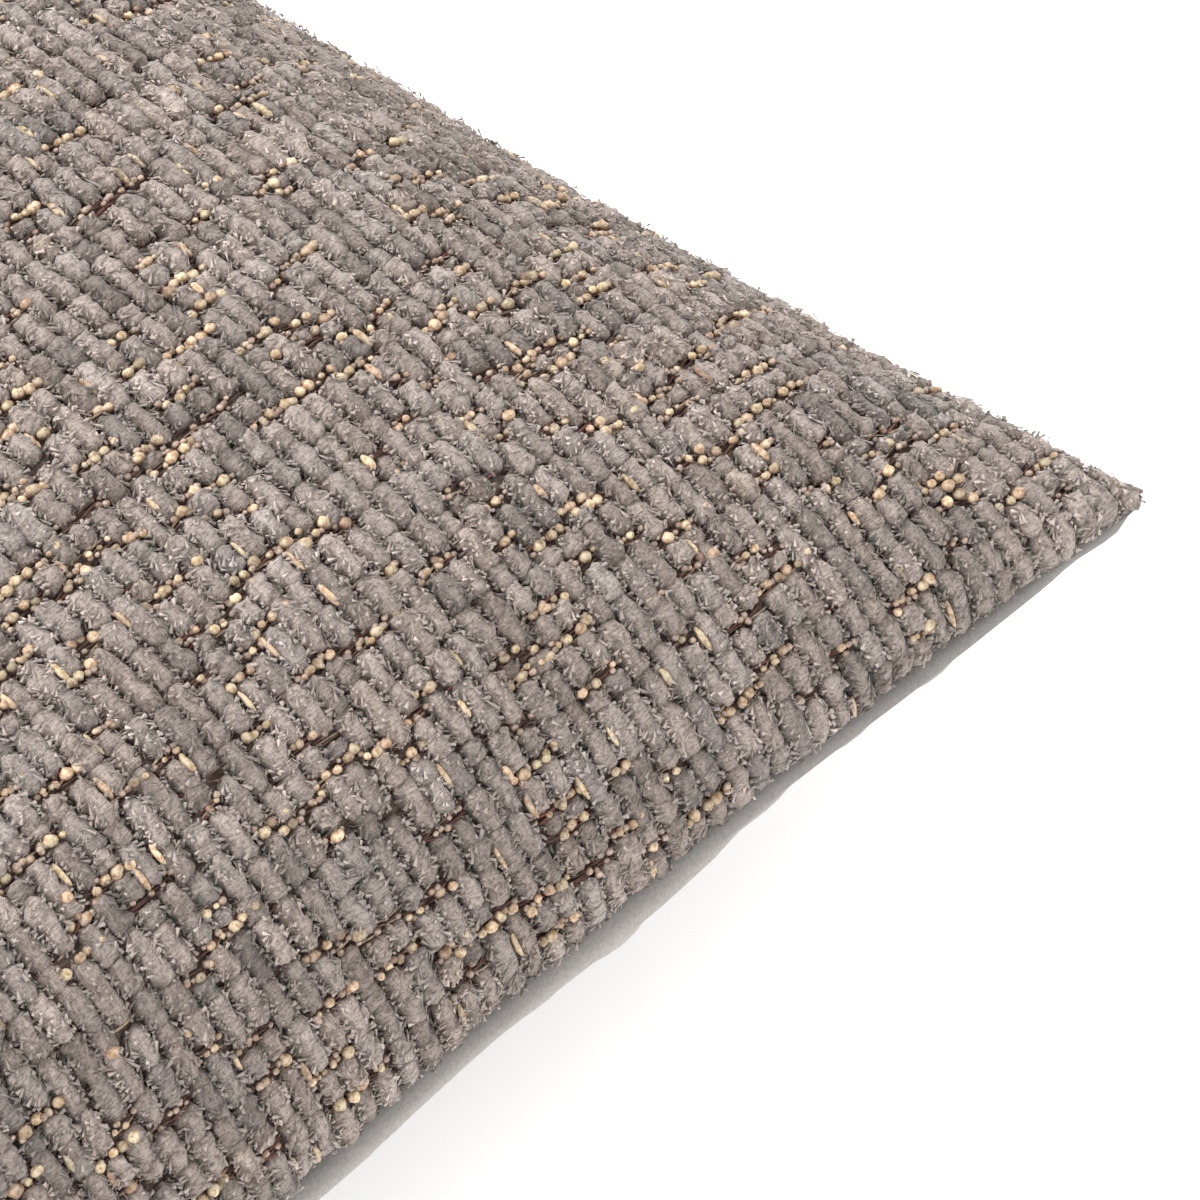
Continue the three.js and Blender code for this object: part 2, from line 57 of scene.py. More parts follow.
front_low, front_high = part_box("front_panel")
HALF = front_high[0]
SEAM_Z = (front_low[2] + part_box("back_panel")[1][2]) / 2
FRONT_CROWN = front_high[2] - SEAM_Z
BACK_CROWN = 68 * MM  # before the floor flattens it
SIDE_PULL = 18 * MM  # how far a side's middle is pulled in
ZIP_PULL = 11 * MM  # the same along the zip, which is stiffer
ZIP_STRAIGHT = 0.8  # share of its side that the zip keeps straight
ZIP_STRETCH = 0.76  # share of that side where the lips stand fully apart
SLIDE_STRETCH = 0.82  # share of that side where the pile is kept low
CROWN_POWER = 2.5
CROWN_ROUNDNESS = 0.56
LUMPS = 1.2 * MM  # height of the filling's soft lumps under the cover
CORNER_REACH = 1.4 * MM  # how far the corner's tip stands out, along each side

PILE_HEIGHT = 3.0 * MM  # from the ground cloth to the top of a chenille float
GROUND_INSET = 2.4 * MM  # of the ground cloth inside the pillow's outline
GROUND_THICKNESS = 1.2 * MM
BACK_THICKNESS = 1.0 * MM
BACK_ROLL = 6.8 * MM  # how far the back swells out just under the seam
FRONT_ROLL = 1.4 * MM  # how much the front swells up just inside the seam
BACK_UNEVEN = 0.16  # how unevenly it swells, as a share
ZIP_CALM, TIP_CALM = 0.6, 0.65  # how much less it swells along the zip and at a tip
TIP_DROP = 2.2 * MM  # how far the back hangs under the seam at the corners
ROLL_WIDTH = 3.0 * MM  # how far in from the seam it swells the most
PUCKER_DEPTH = 0.9 * MM  # of the folds that run in from the seam on the back
PUCKER_PITCH = 17 * MM
PUCKER_LENGTH = 22 * MM  # how far in they fade out
SEAM_SHADE_FADE = 11 * MM  # how far in from the seam the back's painted seam shade fades out
LIP_GAP = 3.4 * MM  # half the height of the slit that the slider passes in
OVERHANG = 0.8 * MM  # how far a puff may reach past the ground cloth's edge

RIBS = 105  # chenille picks from one side to the other
WARPS = 244  # warp threads from one side to the other
SEAM_POWER = 26  # how closely to the outline the pile turns outwards
GRID = 321  # samples of a panel along each side
COARSE = 4  # the cloth solver uses every fourth sample


# ---------- the pillow's shape

def smoothstep(x):
    x = np.clip(x, 0, 1)
    return x * x * (3 - 2 * x)


def from_edge(s, t):
    """How far inside the outline a point lies, as a share of half the side."""
    return 1 - np.maximum(np.abs(s), np.abs(t))


def rounded(a, b):
    """Puts even steps closer together towards the outline, where the shape is steep."""
    return np.sin(a * math.pi / 2), np.sin(b * math.pi / 2)


def place(s, t, half):
    """Where the square's point (s, t) lies seen from above."""
    past = np.clip((np.abs(s) - ZIP_STRAIGHT) / (1 - ZIP_STRAIGHT), 0, 1)
    zipped = ZIP_PULL * (1 - past**2)
    sewn = SIDE_PULL * (1 - s**2)
    share = smoothstep(-t)
    end_pull = sewn + (zipped - sewn) * share
    tip = CORNER_REACH * np.abs(s * t) ** 14
    x = s * (half - SIDE_PULL * (1 - t**2) + tip)
    y = t * (half - end_pull + tip)
    return x, y


def crown_share(s, t):
    across = 1 - np.abs(s) ** CROWN_POWER
    along = 1 - np.abs(t) ** CROWN_POWER
    return np.clip(across * along, 0, 1) ** CROWN_ROUNDNESS


def zip_share(s, t):
    """1 on the zipped stretch of the -Y edge, fading to 0 away from it."""
    along = 1 - smoothstep((np.abs(s) - ZIP_STRETCH) / 0.1)
    return along * smoothstep((-t - 0.9) / 0.09)


def waves(s, t, seed, count, lowest, highest):
    """Smooth, repeatable unevenness between about -1 and 1."""
    random = np.random.default_rng(seed)
    total = np.zeros_like(s)
    for _ in range(count):
        angle = random.uniform(0, 2 * math.pi)
        rate = random.uniform(lowest, highest)
        phase = random.uniform(0, 2 * math.pi)
        total += np.sin(rate * (s * math.cos(angle) + t * math.sin(angle)) + phase)
    return total / math.sqrt(count) / 1.4


def roll_share(s, t):
    """How much a panel swells next to the seam: nothing at it, the most a little way in."""
    near = from_edge(s, t) * HALF / ROLL_WIDTH
    return near * np.exp(1 - near)


def front_shape(s, t):
    x, y = place(s, t, HALF - GROUND_INSET)
    share = crown_share(s, t)
    zipped = zip_share(s, t)
    z = SEAM_Z + (FRONT_CROWN - PILE_HEIGHT) * share + LIP_GAP * zipped
    z += FRONT_ROLL * roll_share(s, t) * (1 - zipped)
    z += LUMPS * waves(s, t, seed=3, count=9, lowest=3, highest=9) * share
    return np.stack([x, y, z], -1)


def puckers(s, t):
    """Shallow folds that run in from the seam, where the sewing gathers the thin back."""
    edge = from_edge(s, t) * HALF
    along = np.where(np.abs(s) > np.abs(t), t, s) * HALF
    phase = 3 * waves(s, t, seed=6, count=6, lowest=4, highest=12)
    fade = smoothstep(edge / ROLL_WIDTH) * np.exp(-edge / PUCKER_LENGTH)
    return PUCKER_DEPTH * np.sin(2 * math.pi * along / PUCKER_PITCH + phase) * fade


def back_shape(s, t):
    x, y = place(s, t, HALF - GROUND_INSET)
    share = crown_share(s, t)
    zipped = zip_share(s, t)
    z = SEAM_Z - BACK_CROWN * share - LIP_GAP * zipped
    # The thin back swells out under the seam, unevenly, and less along the zip.
    roll = roll_share(s, t)
    uneven = 1 + BACK_UNEVEN * waves(s, t, seed=8, count=7, lowest=9, highest=26)
    calm = (1 - ZIP_CALM * zipped) * (1 - TIP_CALM * np.abs(s * t) ** 20)
    reach = BACK_ROLL * roll * uneven * calm
    x += reach * np.sign(s) * np.abs(s) ** 6
    y += reach * np.sign(t) * np.abs(t) ** 6
    z -= TIP_DROP * roll * np.abs(s * t) ** 4
    z += puckers(s, t) * (1 - zipped)
    z += LUMPS * roll * waves(s, t, seed=5, count=7, lowest=12, highest=30) * (1 - zipped)
    return np.stack([x, y, z], -1)


def bilinear(table, a, b):
    """Samples a square table whose sides run from -1 to 1, at (a, b)."""
    last = table.shape[0] - 1
    fa = np.clip((a + 1) / 2 * last, 0, last - 1e-6)
    fb = np.clip((b + 1) / 2 * last, 0, last - 1e-6)
    i, j = fa.astype(int), fb.astype(int)
    wa, wb = fa - i, fb - j
    if table.ndim > 2:
        wa, wb = wa[..., None], wb[..., None]
    low = table[i, j] * (1 - wb) + table[i, j + 1] * wb
    high = table[i + 1, j] * (1 - wb) + table[i + 1, j + 1] * wb
    return low * (1 - wa) + high * wa


def even_grid(count=GRID):
    even = np.linspace(-1, 1, count)
    return np.meshgrid(even, even, indexing="ij")


def arc_share(points, axis):
    """Arc length along one axis of a grid of points, as -1 at its start and 1 at its end."""
    steps = np.linalg.norm(np.diff(points, axis=axis), axis=-1)
    length = np.cumsum(steps, axis=axis)
    start = np.zeros_like(np.take(length, [0], axis=axis))
    length = np.concatenate([start, length], axis=axis)
    return 2 * length / np.take(length, [-1], axis=axis) - 1


def laid_cloth(shape):
    """Points of a shape at an even grid of fabric coordinates: the cloth doesn't stretch, so
    equal steps of fabric are equal lengths along the surface, however steep it is."""
    a, b = even_grid()
    points = shape(*rounded(a, b))
    along_u = arc_share(points, 0)
    along_v = arc_share(points, 1)
    fit_a, fit_b = a.copy(), b.copy()
    for _ in range(14):
        miss_a = a - bilinear(along_u, fit_a, fit_b)
        miss_b = b - bilinear(along_v, fit_a, fit_b)
        fit_a = np.clip(fit_a + 0.8 * miss_a, -1, 1)
        fit_b = np.clip(fit_b + 0.8 * miss_b, -1, 1)
    return shape(*rounded(fit_a, fit_b))


# ---------- mesh helpers

def packed(values, kind=np.float32):
    return np.ascontiguousarray(values, kind).ravel()


def linked(name, data):
    """A new object in the scene for a mesh, a light or a camera."""
    made = bpy.data.objects.new(name, data)
    bpy.context.scene.collection.objects.link(made)
    return made


def mesh_object(name, points, faces):
    """A new object from arrays of points and of faces with equal corner counts."""
    mesh = bpy.data.meshes.new(name)
    corners = faces.shape[1]
    mesh.vertices.add(len(points))
    mesh.vertices.foreach_set("co", packed(points))
    mesh.loops.add(faces.size)
    mesh.loops.foreach_set("vertex_index", packed(faces, np.int32))
    mesh.polygons.add(len(faces))
    mesh.polygons.foreach_set("loop_start", np.arange(0, faces.size, corners, dtype=np.int32))
    mesh.update(calc_edges=True)
    mesh.polygons.foreach_set("use_smooth", np.full(len(faces), True))
    return linked(name, mesh)


def paint(piece, name, values):
    """Stores a colour, which is the one called tint, or a vector on every point of a piece."""
    values = values.reshape(-1, 3)
    kind, key = "FLOAT_VECTOR", "vector"
    if name == "tint":
        values = np.concatenate([values, np.ones((len(values), 1))], -1)
        kind, key = "FLOAT_COLOR", "color"
    layer = piece.data.attributes.new(name, kind, "POINT")
    layer.data.foreach_set(key, packed(values))


def set_map(piece, uv):
    """Stores the texture places of a piece's face corners."""
    layer = piece.data.uv_layers.new(name="OFBake")
    layer.uv.foreach_set("vector", packed(uv))


def grid_faces(rows, columns):
    """Quads of a grid of rows by columns, as indices into its points."""
    i, j = np.meshgrid(np.arange(rows - 1), np.arange(columns - 1), indexing="ij")
    corner = i * columns + j
    quads = [corner, corner + columns, corner + columns + 1, corner + 1]
    return np.stack(quads, -1).reshape(-1, 4)


def shell_object(name, outer, inner, flip=False, shade=None):
    """A closed shell from two grids of points of one size, joined round their borders. shade
    is how light it stays under its painted shade at each point of the grid."""
    rows, columns = outer.shape[:2]
    points = np.concatenate([outer.reshape(-1, 3), inner.reshape(-1, 3)])
    top = grid_faces(rows, columns)
    bottom = top[:, ::-1] + rows * columns
    index = np.arange(rows * columns).reshape(rows, columns)
    border = np.concatenate(
        [index[:-1, 0], index[-1, :-1], index[:0:-1, -1], index[0, :0:-1]])
    ahead = np.roll(border, -1)
    rim = np.stack([border, border + rows * columns, ahead + rows * columns, ahead], -1)
    faces = np.concatenate([top, bottom, rim])

    # Each side of the shell has one half of the map, and the rim has a strip of its own.
    across, down = np.divmod(index.ravel(), columns)
    sheet = np.stack([0.48 * across / (rows - 1), 0.95 * down / (columns - 1)], -1) + 0.01
    sheets = np.concatenate([sheet, sheet + np.array([0.5, 0.0])])
    start = 0.01 + 0.98 * np.arange(len(border)) / len(border)
    end = start + 0.98 / len(border)
    strip = np.stack([start, 0.975 + 0 * start, start, 0.995 + 0 * start,
                      end, 0.995 + 0 * start, end, 0.975 + 0 * start], -1).reshape(-1, 4, 2)
    uv = np.concatenate([sheets[top], sheets[bottom], strip])
    if flip:
        faces, uv = faces[:, ::-1], uv[:, ::-1]
    piece = mesh_object(name, points, faces)
    set_map(piece, uv)
    shade = np.ones(rows * columns) if shade is None else shade.ravel()
    paint(piece, "tint", np.tile(shade[:, None], (2, 3)))
    return piece


def capsule(rings, around):
    """A unit capsule: for each of its points, its place along the axis from -1 to 1 and its
    angle round it, and the triangles between them."""
    inner = -np.cos(np.linspace(0, math.pi, rings + 2)[1:-1])
    turn = np.linspace(0, 2 * math.pi, around, endpoint=False)
    along = np.concatenate([[-1], np.repeat(inner, around), [1]])
    angle = np.concatenate([[0], np.tile(turn, rings), [0]])
    j = np.arange(around)
    k = (j + 1) % around
    last = 1 + rings * around
    faces = [np.stack([0 * j, 1 + j, 1 + k], -1)]
    for ring in range(rings - 1):
        a, c = 1 + ring * around, 1 + (ring + 1) * around
        faces.append(np.stack([a + j, c + j, c + k], -1))
        faces.append(np.stack([a + j, c + k, a + k], -1))
    a = 1 + (rings - 1) * around
    faces.append(np.stack([a + j, 0 * j + last, a + k], -1))
    return along, angle, np.concatenate(faces)


def repeated(faces, count, size):
    """The faces of one item, repeated for a number of items of the same size."""
    return (faces[None] + (np.arange(count) * size)[:, None, None]).reshape(-1, faces.shape[1])


def atlas(count, local, low=0.0, high=1.0):
    """Texture places for items of one kind: a cell of its own for every item, between two
    heights of the map. local is the place in the cell, from 0 to 1."""
    across = max(1, math.ceil(math.sqrt(count / (high - low))))
    down = math.ceil(count / across)
    cell = np.arange(count)
    corner = np.stack([cell % across, cell // across], -1)[:, None, :]
    share = (corner + 0.06 + 0.88 * local) / np.array([across, down])
    share[..., 1] = low + (high - low) * share[..., 1]
    return share.reshape(-1, 2)


def round_cell(along, angle):
    """Places in an atlas cell for the points of a capsule."""
    return np.stack([(along + 1) / 2, angle / (2 * math.pi)], -1)[None]


def set_atlas(piece, uv):
    """Gives every corner of a piece's faces the map place of its point."""
    loops = np.empty(len(piece.data.loops), np.int32)
    piece.data.loops.foreach_get("vertex_index", loops)
    set_map(piece, uv[loops])


# ---------- inflating the cover

def inflated(front_points, back_points):
    """Blender's cloth solver swells the two panels, sewn together at the seam, from inside.
    Returns both grids moved by what it gives, capped and fading out at the seam."""
    coarse_front = front_points[::COARSE, ::COARSE]
    coarse_back = back_points[::COARSE, ::COARSE]
    side = coarse_front.shape[0]
    index = np.arange(side * side).reshape(side, side)
    border = np.ones((side, side), bool)
    border[1:-1, 1:-1] = False
    back_index = index.copy()
    back_index[~border] = side * side + np.arange((side - 2) ** 2)
    points = np.concatenate([coarse_front.reshape(-1, 3), coarse_back[~border]])
    top = grid_faces(side, side)
    under = back_index.ravel()[top][:, ::-1]
    swelling = mesh_object("swelling", points, np.concatenate([top, under]))

    seam_points = swelling.vertex_groups.new(name="seam")
    seam_points.add([int(i) for i in index[border]], 1.0, "REPLACE")
    solver = swelling.modifiers.new("cloth", "CLOTH")
    for setting, value in SWELL_SETTINGS.items():
        setattr(solver.settings, setting, value)
    solver.settings.effector_weights.gravity = 0
    solver.point_cache.frame_start = 1
    solver.point_cache.frame_end = SWELL_FRAMES
    for number in range(1, SWELL_FRAMES + 1):
        bpy.context.scene.frame_set(number)
    done = swelling.evaluated_get(bpy.context.evaluated_depsgraph_get())
    after = np.empty(len(points) * 3, np.float32)
    done.data.vertices.foreach_get("co", after)
    after = after.reshape(-1, 3).astype(float)
    bpy.data.objects.remove(swelling, do_unlink=True)
    bpy.context.scene.frame_set(1)

    moved = after - points
    length = np.linalg.norm(moved, axis=-1, keepdims=True)
    moved = moved * np.minimum(1, SWELL_CAP / np.maximum(length, 1e-9))
    result = []
    for index_of, original in ((index, front_points), (back_index, back_points)):
        field = moved[index_of.ravel()].reshape(side, side, 3)
        u, v = even_grid()
        fine = bilinear(field, u, v)
        for _ in range(SWELL_SMOOTHING):
            fine[1:-1] = (fine[:-2] + 2 * fine[1:-1] + fine[2:]) / 4
            fine[:, 1:-1] = (fine[:, :-2] + 2 * fine[:, 1:-1] + fine[:, 2:]) / 4
        fade = smoothstep(from_edge(u, v) / SWELL_FADE)
        result.append(original + fine * fade[..., None])
    return result


SWELL_SETTINGS = {
    "vertex_group_mass": "seam", "quality": 5, "mass": 0.3, "tension_stiffness": 4,
    "compression_stiffness": 4, "shear_stiffness": 1.5, "bending_stiffness": 1.5,
    "use_pressure": True, "uniform_pressure_force": 4}
SWELL_FRAMES = 20
SWELL_CAP = 5 * MM  # the most that a point may move
SWELL_ROOM = 0.04  # how much flatter the pillow is before it swells
SWELL_FADE = 0.06  # share of the half side over which the swelling fades in
SWELL_SMOOTHING = 6  # rounds of smoothing on the solver's result
FLOOR_GAP = 0.3 * MM
front_grid = laid_cloth(front_shape)
back_grid = laid_cloth(back_shape)
for grid in (front_grid, back_grid):
    grid[..., 2] += (SEAM_Z - grid[..., 2]) * SWELL_ROOM
front_grid, back_grid = inflated(front_grid, back_grid)
back_grid[..., 2] = np.maximum(back_grid[..., 2], FLOOR_GAP)


def over_zip(u):
    """1 on the stretch of fabric that the slider passes, fading to 0 beyond it."""
    return 1 - smoothstep((np.abs(u) - SLIDE_STRETCH) / 0.05)


class Cloth:
    """A panel of fabric laid over the pillow."""

    def __init__(self, points, flip=1):
        self.points = points
        du = np.gradient(points, axis=0)
        dv = np.gradient(points, axis=1)
        normal = np.cross(du, dv) * flip
        normal /= np.maximum(np.linalg.norm(normal, axis=-1, keepdims=True), 1e-12)
        # Next to the outline the pile stands outwards, so that it wraps the edge and corners.
        u, v = even_grid()
        sideways = [np.sign(a) * np.abs(a) ** SEAM_POWER for a in (u, v)]
        outward = np.stack([*sideways, 0 * u], -1)
        normal = normal + 0.9 * outward
        self.normals = normal / np.linalg.norm(normal, axis=-1, keepdims=True)
        middle = GRID // 2
        self.width = np.linalg.norm(np.diff(points[:, middle], axis=0), axis=-1).sum()
        self.length = np.linalg.norm(np.diff(points[middle], axis=0), axis=-1).sum()

    def at(self, u, v, height):
        """The point a height above the cloth at fabric coordinates (u, v). Past the cloth's
        edge it goes straight on, by no more than the overhang."""
        on_u, on_v = np.clip(u, -1, 1), np.clip(v, -1, 1)
        past_u = np.clip((u - on_u) * self.width / 2, -OVERHANG, OVERHANG)
        past_v = np.clip((v - on_v) * self.length / 2, -OVERHANG * (1 - over_zip(u)), OVERHANG)
        normal = bilinear(self.normals, on_u, on_v)
        point = bilinear(self.points, on_u, on_v) + normal * height[..., None]
        return point + np.stack([past_u, past_v, 0 * past_u], -1)


front = Cloth(front_grid)
back = Cloth(back_grid, flip=-1)


# ---------- materials

def new_material(name, roughness, sheen=0.0, metallic=0.0, specular=0.3):
    material = bpy.data.materials.new(name)
    material.use_nodes = True
    shader = material.node_tree.nodes["Principled BSDF"]
    for key, value in (("Roughness", roughness), ("Metallic", metallic), ("Sheen Weight", sheen),
                       ("Sheen Roughness", 0.45), ("Specular IOR Level", specular)):
        shader.inputs[key].default_value = value
    return material, material.node_tree, shader


def node(tree, kind, **settings):
    made = tree.nodes.new(kind)
    for key, value in settings.items():
        if key in made.inputs:
            made.inputs[key].default_value = value
        else:
            setattr(made, key, value)
    return made


def ramp(tree, source, stops):
    made = node(tree, "ShaderNodeValToRGB")
    elements = made.color_ramp.elements
    while len(elements) < len(stops):
        elements.new(0.5)
    for element, (position, color) in zip(elements, stops):
        element.position = position
        element.color = (*color, 1)
    tree.links.new(source, made.inputs[0])
    return made.outputs[0]


def multiply(tree, first, second, share=1.0):
    made = node(tree, "ShaderNodeMix", data_type="RGBA", blend_type="MULTIPLY")
    made.inputs[0].default_value = share
    tree.links.new(first, made.inputs[6])
    tree.links.new(second, made.inputs[7])
    return made.outputs[2]


def coat(tree, shader, colour, height, strength, distance):
    """Colours a surface and gives it fine relief."""
    tree.links.new(colour, shader.inputs["Base Color"])
    made = node(tree, "ShaderNodeBump", Strength=strength, Distance=distance)
    tree.links.new(height, made.inputs["Height"])
    tree.links.new(made.outputs[0], shader.inputs["Normal"])


def stretched(tree, vector, scale):
    made = node(tree, "ShaderNodeMapping")
    made.inputs["Scale"].default_value = scale
    tree.links.new(vector, made.inputs["Vector"])
    return made.outputs[0]


def noise(tree, vector, scale, detail=3.0, roughness=0.6):
    made = node(tree, "ShaderNodeTexNoise", Scale=scale, Detail=detail, Roughness=roughness)
    tree.links.new(vector, made.inputs["Vector"])
    return made.outputs["Fac"]


def tint_of(tree):
    return node(tree, "ShaderNodeAttribute", attribute_name="tint").outputs["Color"]


def object_place(tree):
    return node(tree, "ShaderNodeTexCoord").outputs["Object"]


def plush_material():
    """Chenille pile: short fibres that fan out from the yarn, each a little lighter or darker
    than the next. The yarn's own coordinates are in millimetres."""
    material, tree, shader = new_material("chenille_pile", 0.9, sheen=0.18, specular=0.12)
    yarn = node(tree, "ShaderNodeAttribute", attribute_name="yarn").outputs["Vector"]
    fibres = noise(tree, stretched(tree, yarn, (1.0, 0.3, 1.0)), 3.4, 3.0, 0.65)
    crossed = noise(tree, stretched(tree, yarn, (0.5, 1.0, 1.0)), 2.6, 3.0, 0.6)
    both = node(tree, "ShaderNodeMix", data_type="FLOAT")
    both.inputs[0].default_value = 0.4
    tree.links.new(fibres, both.inputs[2])
    tree.links.new(crossed, both.inputs[3])
    streaks = ramp(tree, both.outputs[0], [(0.37, (0.46, 0.43, 0.41)), (0.5, (0.9, 0.9, 0.9)),
                                           (0.63, (1.28, 1.28, 1.28))])
    coat(tree, shader, multiply(tree, tint_of(tree), streaks), both.outputs[0], 0.9, 0.5 * MM)
    return material


def yarn_material(name, roughness, sheen, grain_scale, detail, shades, strength, depth):
    """Spun yarn, coloured by its tint and a fine grain."""
    material, tree, shader = new_material(name, roughness, sheen=sheen)
    grain = noise(tree, object_place(tree), grain_scale, detail)
    colour = multiply(tree, tint_of(tree), ramp(tree, grain, shades))
    coat(tree, shader, colour, grain, strength, depth)
    return material


def thread_material(name, sheen=0.05):
    shades = [(0.35, (0.6, 0.6, 0.6)), (0.62, (1.1, 1.1, 1.1))]
    return yarn_material(name, 0.6, sheen, 900.0, 3.0, shades, 0.4, 0.1 * MM)


def ground_material():
    """The cloth under the pile: dark brown warps over grey picks."""
    material, tree, shader = new_material("ground_cloth", 0.95, sheen=0.05, specular=0.1)
    grain = noise(tree, stretched(tree, object_place(tree), (1.0, 0.35, 1.0)), 900.0, 3.0)
    colour = ramp(tree, grain, [(0.38, (0.09, 0.058, 0.046)), (0.55, (0.19, 0.145, 0.12)),
                                (0.7, (0.33, 0.28, 0.25))])
    coat(tree, shader, colour, grain, 0.6, 0.3 * MM)
    return material


def woven_material(name, dark, light, nap_scale=1500.0, roughness=0.85, sheen=0.2):
    """Close plain weave with a lightly brushed face, darker where its tint holds painted shade."""
    material, tree, shader = new_material(name, roughness, sheen=sheen, specular=0.2)
    where = object_place(tree)
    nap = noise(tree, where, nap_scale, 3.0, 0.7)
    cloud = noise(tree, where, 30.0, 3.0)
    tone = ramp(tree, nap, [(0.3, dark), (0.7, light)])
    drift = ramp(tree, cloud, [(0.3, (0.93, 0.93, 0.93)), (0.7, (1.04, 1.04, 1.04))])
    dyed_and_shaded = multiply(tree, multiply(tree, tone, drift), tint_of(tree))
    coat(tree, shader, dyed_and_shaded, nap, 0.35, 0.25 * MM)
    return material


def metal_material():
    """Plated zinc with fine wear."""
    material, tree, shader = new_material("zip_metal", 0.35, metallic=1.0, specular=0.5)
    wear = noise(tree, object_place(tree), 1200.0, 4.0)
    colour = ramp(tree, wear, [(0.3, (0.15, 0.147, 0.142)), (0.7, (0.28, 0.274, 0.265))])
    coat(tree, shader, colour, wear, 0.15, 0.05 * MM)
    rough = node(tree, "ShaderNodeMapRange", **{"To Min": 0.25, "To Max": 0.5})
    tree.links.new(wear, rough.inputs["Value"])
    tree.links.new(rough.outputs[0], shader.inputs["Roughness"])
    return material


PLUSH = plush_material()
SLUB = yarn_material("straw_slub", 0.5, 0.1, 1300.0, 2.0,
                     [(0.36, (0.62, 0.48, 0.36)), (0.56, (1.0, 1.0, 1.0))], 0.6, 0.3 * MM)
WARP = thread_material("warp_thread")
THREAD = thread_material("sewing_thread")
COIL = thread_material("zip_coil", sheen=0.0)
GROUND = ground_material()
BACK = woven_material("back_cloth", (0.33, 0.308, 0.29), (0.46, 0.43, 0.407), sheen=0.03)
TAPE = woven_material("zip_tape", (0.16, 0.15, 0.145), (0.26, 0.25, 0.24), nap_scale=2200.0)
CASING = woven_material("casing_cloth", (0.7, 0.69, 0.66), (0.82, 0.81, 0.78))
FIBRE = woven_material("polyester_fibre", (0.78, 0.78, 0.77), (0.9, 0.9, 0.89), 700.0, 1.0, 0.4)
METAL = metal_material()


def finish_piece(piece, material, replaced=None):
    """A piece's material and the node it replaces."""
    piece.data.materials.clear()
    piece.data.materials.append(material)
    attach(piece, "cover")
    if replaced:
        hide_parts(replaced)


# ---------- cover panels

def panel_shell(name, cloth, thickness, flip, seam_shade=1.0):
    """A panel's cloth, darkened with painted shade right at the seam, where it keeps the given share
    of its colour.
    """
    u, v = (axis[::2, ::2] for axis in even_grid())
    zero = np.zeros_like(u)
    outer = cloth.at(u, v, zero)
    inner = cloth.at(u * 0.995, v * 0.995, zero - thickness)
    shade = seam_shade + (1 - seam_shade) * smoothstep(from_edge(u, v) * HALF / SEAM_SHADE_FADE)
    return shell_object(name, outer, inner, flip, shade)


ground = panel_shell("front_ground_cloth", front, GROUND_THICKNESS, flip=False)
finish_piece(ground, GROUND, "front_panel")
# Painted shade: the back cloth is painted darker next to the seam, as the shade in the seam's groove.
back_cloth = panel_shell("back_cloth", back, BACK_THICKNESS, flip=True, seam_shade=0.22)
finish_piece(back_cloth, BACK, "back_panel")


# ---------- the weave

RIB_PITCH = 2 / RIBS
SLOT_PITCH = 2 / WARPS
LONG_FLOATS, LONG_CHANCES = [2, 3, 4], [0.28, 0.50, 0.22]
SHORT_FLOATS, SHORT_CHANCES = [1, 2, 3], [0.30, 0.48, 0.22]
END_FLOAT = 2  # slots of a rib's first and last float, at the least


def slot_u(slot):
    """Where the middle of a slot lies along the ribs."""
    return -1 + (slot + 0.5) * SLOT_PITCH


def rib_v(rib):
    """Where the middle of a rib lies across the ribs."""
    return -1 + (rib + 0.5) * RIB_PITCH


def rib_ties(offset):
    """Slots where the warp ties a rib down. Long and short floats take turns."""
    slots = []
    slot = offset
    long_turn = rng.random() < 0.5
    while slot < WARPS:
        if long_turn:
            slot += int(rng.choice(LONG_FLOATS, p=LONG_CHANCES))
        else:
            slot += int(rng.choice(SHORT_FLOATS, p=SHORT_CHANCES))
        slots.append(slot)
        slot += 1
        long_turn = not long_turn
    return np.array(slots)


def woven_ribs():
    """Every chenille float and every tie: rib, first slot, and length of each float. Ribs go
    in pairs that are tied at nearly the same slots."""
    floats, ties = [], []
    for rib in range(RIBS):
        if rib % 2 == 0:
            pair = rib_ties(-int(rng.integers(0, 7)))
            slots = pair
        else:
            slots = pair + rng.choice([-1, 0, 1], size=len(pair), p=[0.24, 0.52, 0.24])
            slots = np.unique(slots)
        slots = slots[(slots >= END_FLOAT) & (slots < WARPS - END_FLOAT)]
        edges = np.concatenate([[-1], slots, [WARPS]])
        for before, after in zip(edges[:-1], edges[1:]):
            if after - before > 1:
                floats.append((rib, before + 1, after - before - 1))
        ties.extend((rib, slot) for slot in slots)
    return np.array(floats, float), np.array(ties, float)


floats, ties = woven_ribs()


def pile_share(u, v):
    """How high the pile stands: less at the seam, where it is sewn down, and least along the
    zip, where the slider has to pass."""
    zipped = 1 - 0.6 * over_zip(u) * smoothstep((-v - 0.955) / 0.02)
    return zipped * (0.9 + 0.1 * smoothstep(from_edge(u, v) / 0.02))


# Where a tie is open its warps and beads show. Elsewhere the pile closes over it.
tie_u, tie_v = np.meshgrid(np.linspace(-1, 1, WARPS + 2), np.linspace(-1, 1, RIBS // 2 + 1))
open_chance = 0.36 + 0.18 * waves(tie_u, tie_v, seed=77, count=10, lowest=5, highest=16)
open_ties = rng.random((RIBS // 2 + 1, WARPS + 2)) < open_chance
open_ties = np.repeat(open_ties, 2, axis=0)


def is_open(rib, slot):
    return open_ties[rib.astype(int), np.clip(slot, -1, WARPS).astype(int) + 1]


FLOAT_RINGS, FLOAT_AROUND = 8, 10
FIBRES = 5  # fine fibres that stand out of each slot's length of pile
LOCKS = 13  # thicker locks of fibres, blunt at their outer ends
PUFF_FOOT = 0.25  # where a puff's axis lies, as a share of its height
OPEN_REACH = 0.14  # slots that a float reaches over an open tie
CLOSED_REACH = 0.72  # the same over a closed tie, so that two floats meet
PILE_COLOUR = (0.455, 0.384, 0.343)
DARK_FLOATS, DARK_SHADE = 0.16, 0.74  # share of the floats that are darker, and their shade


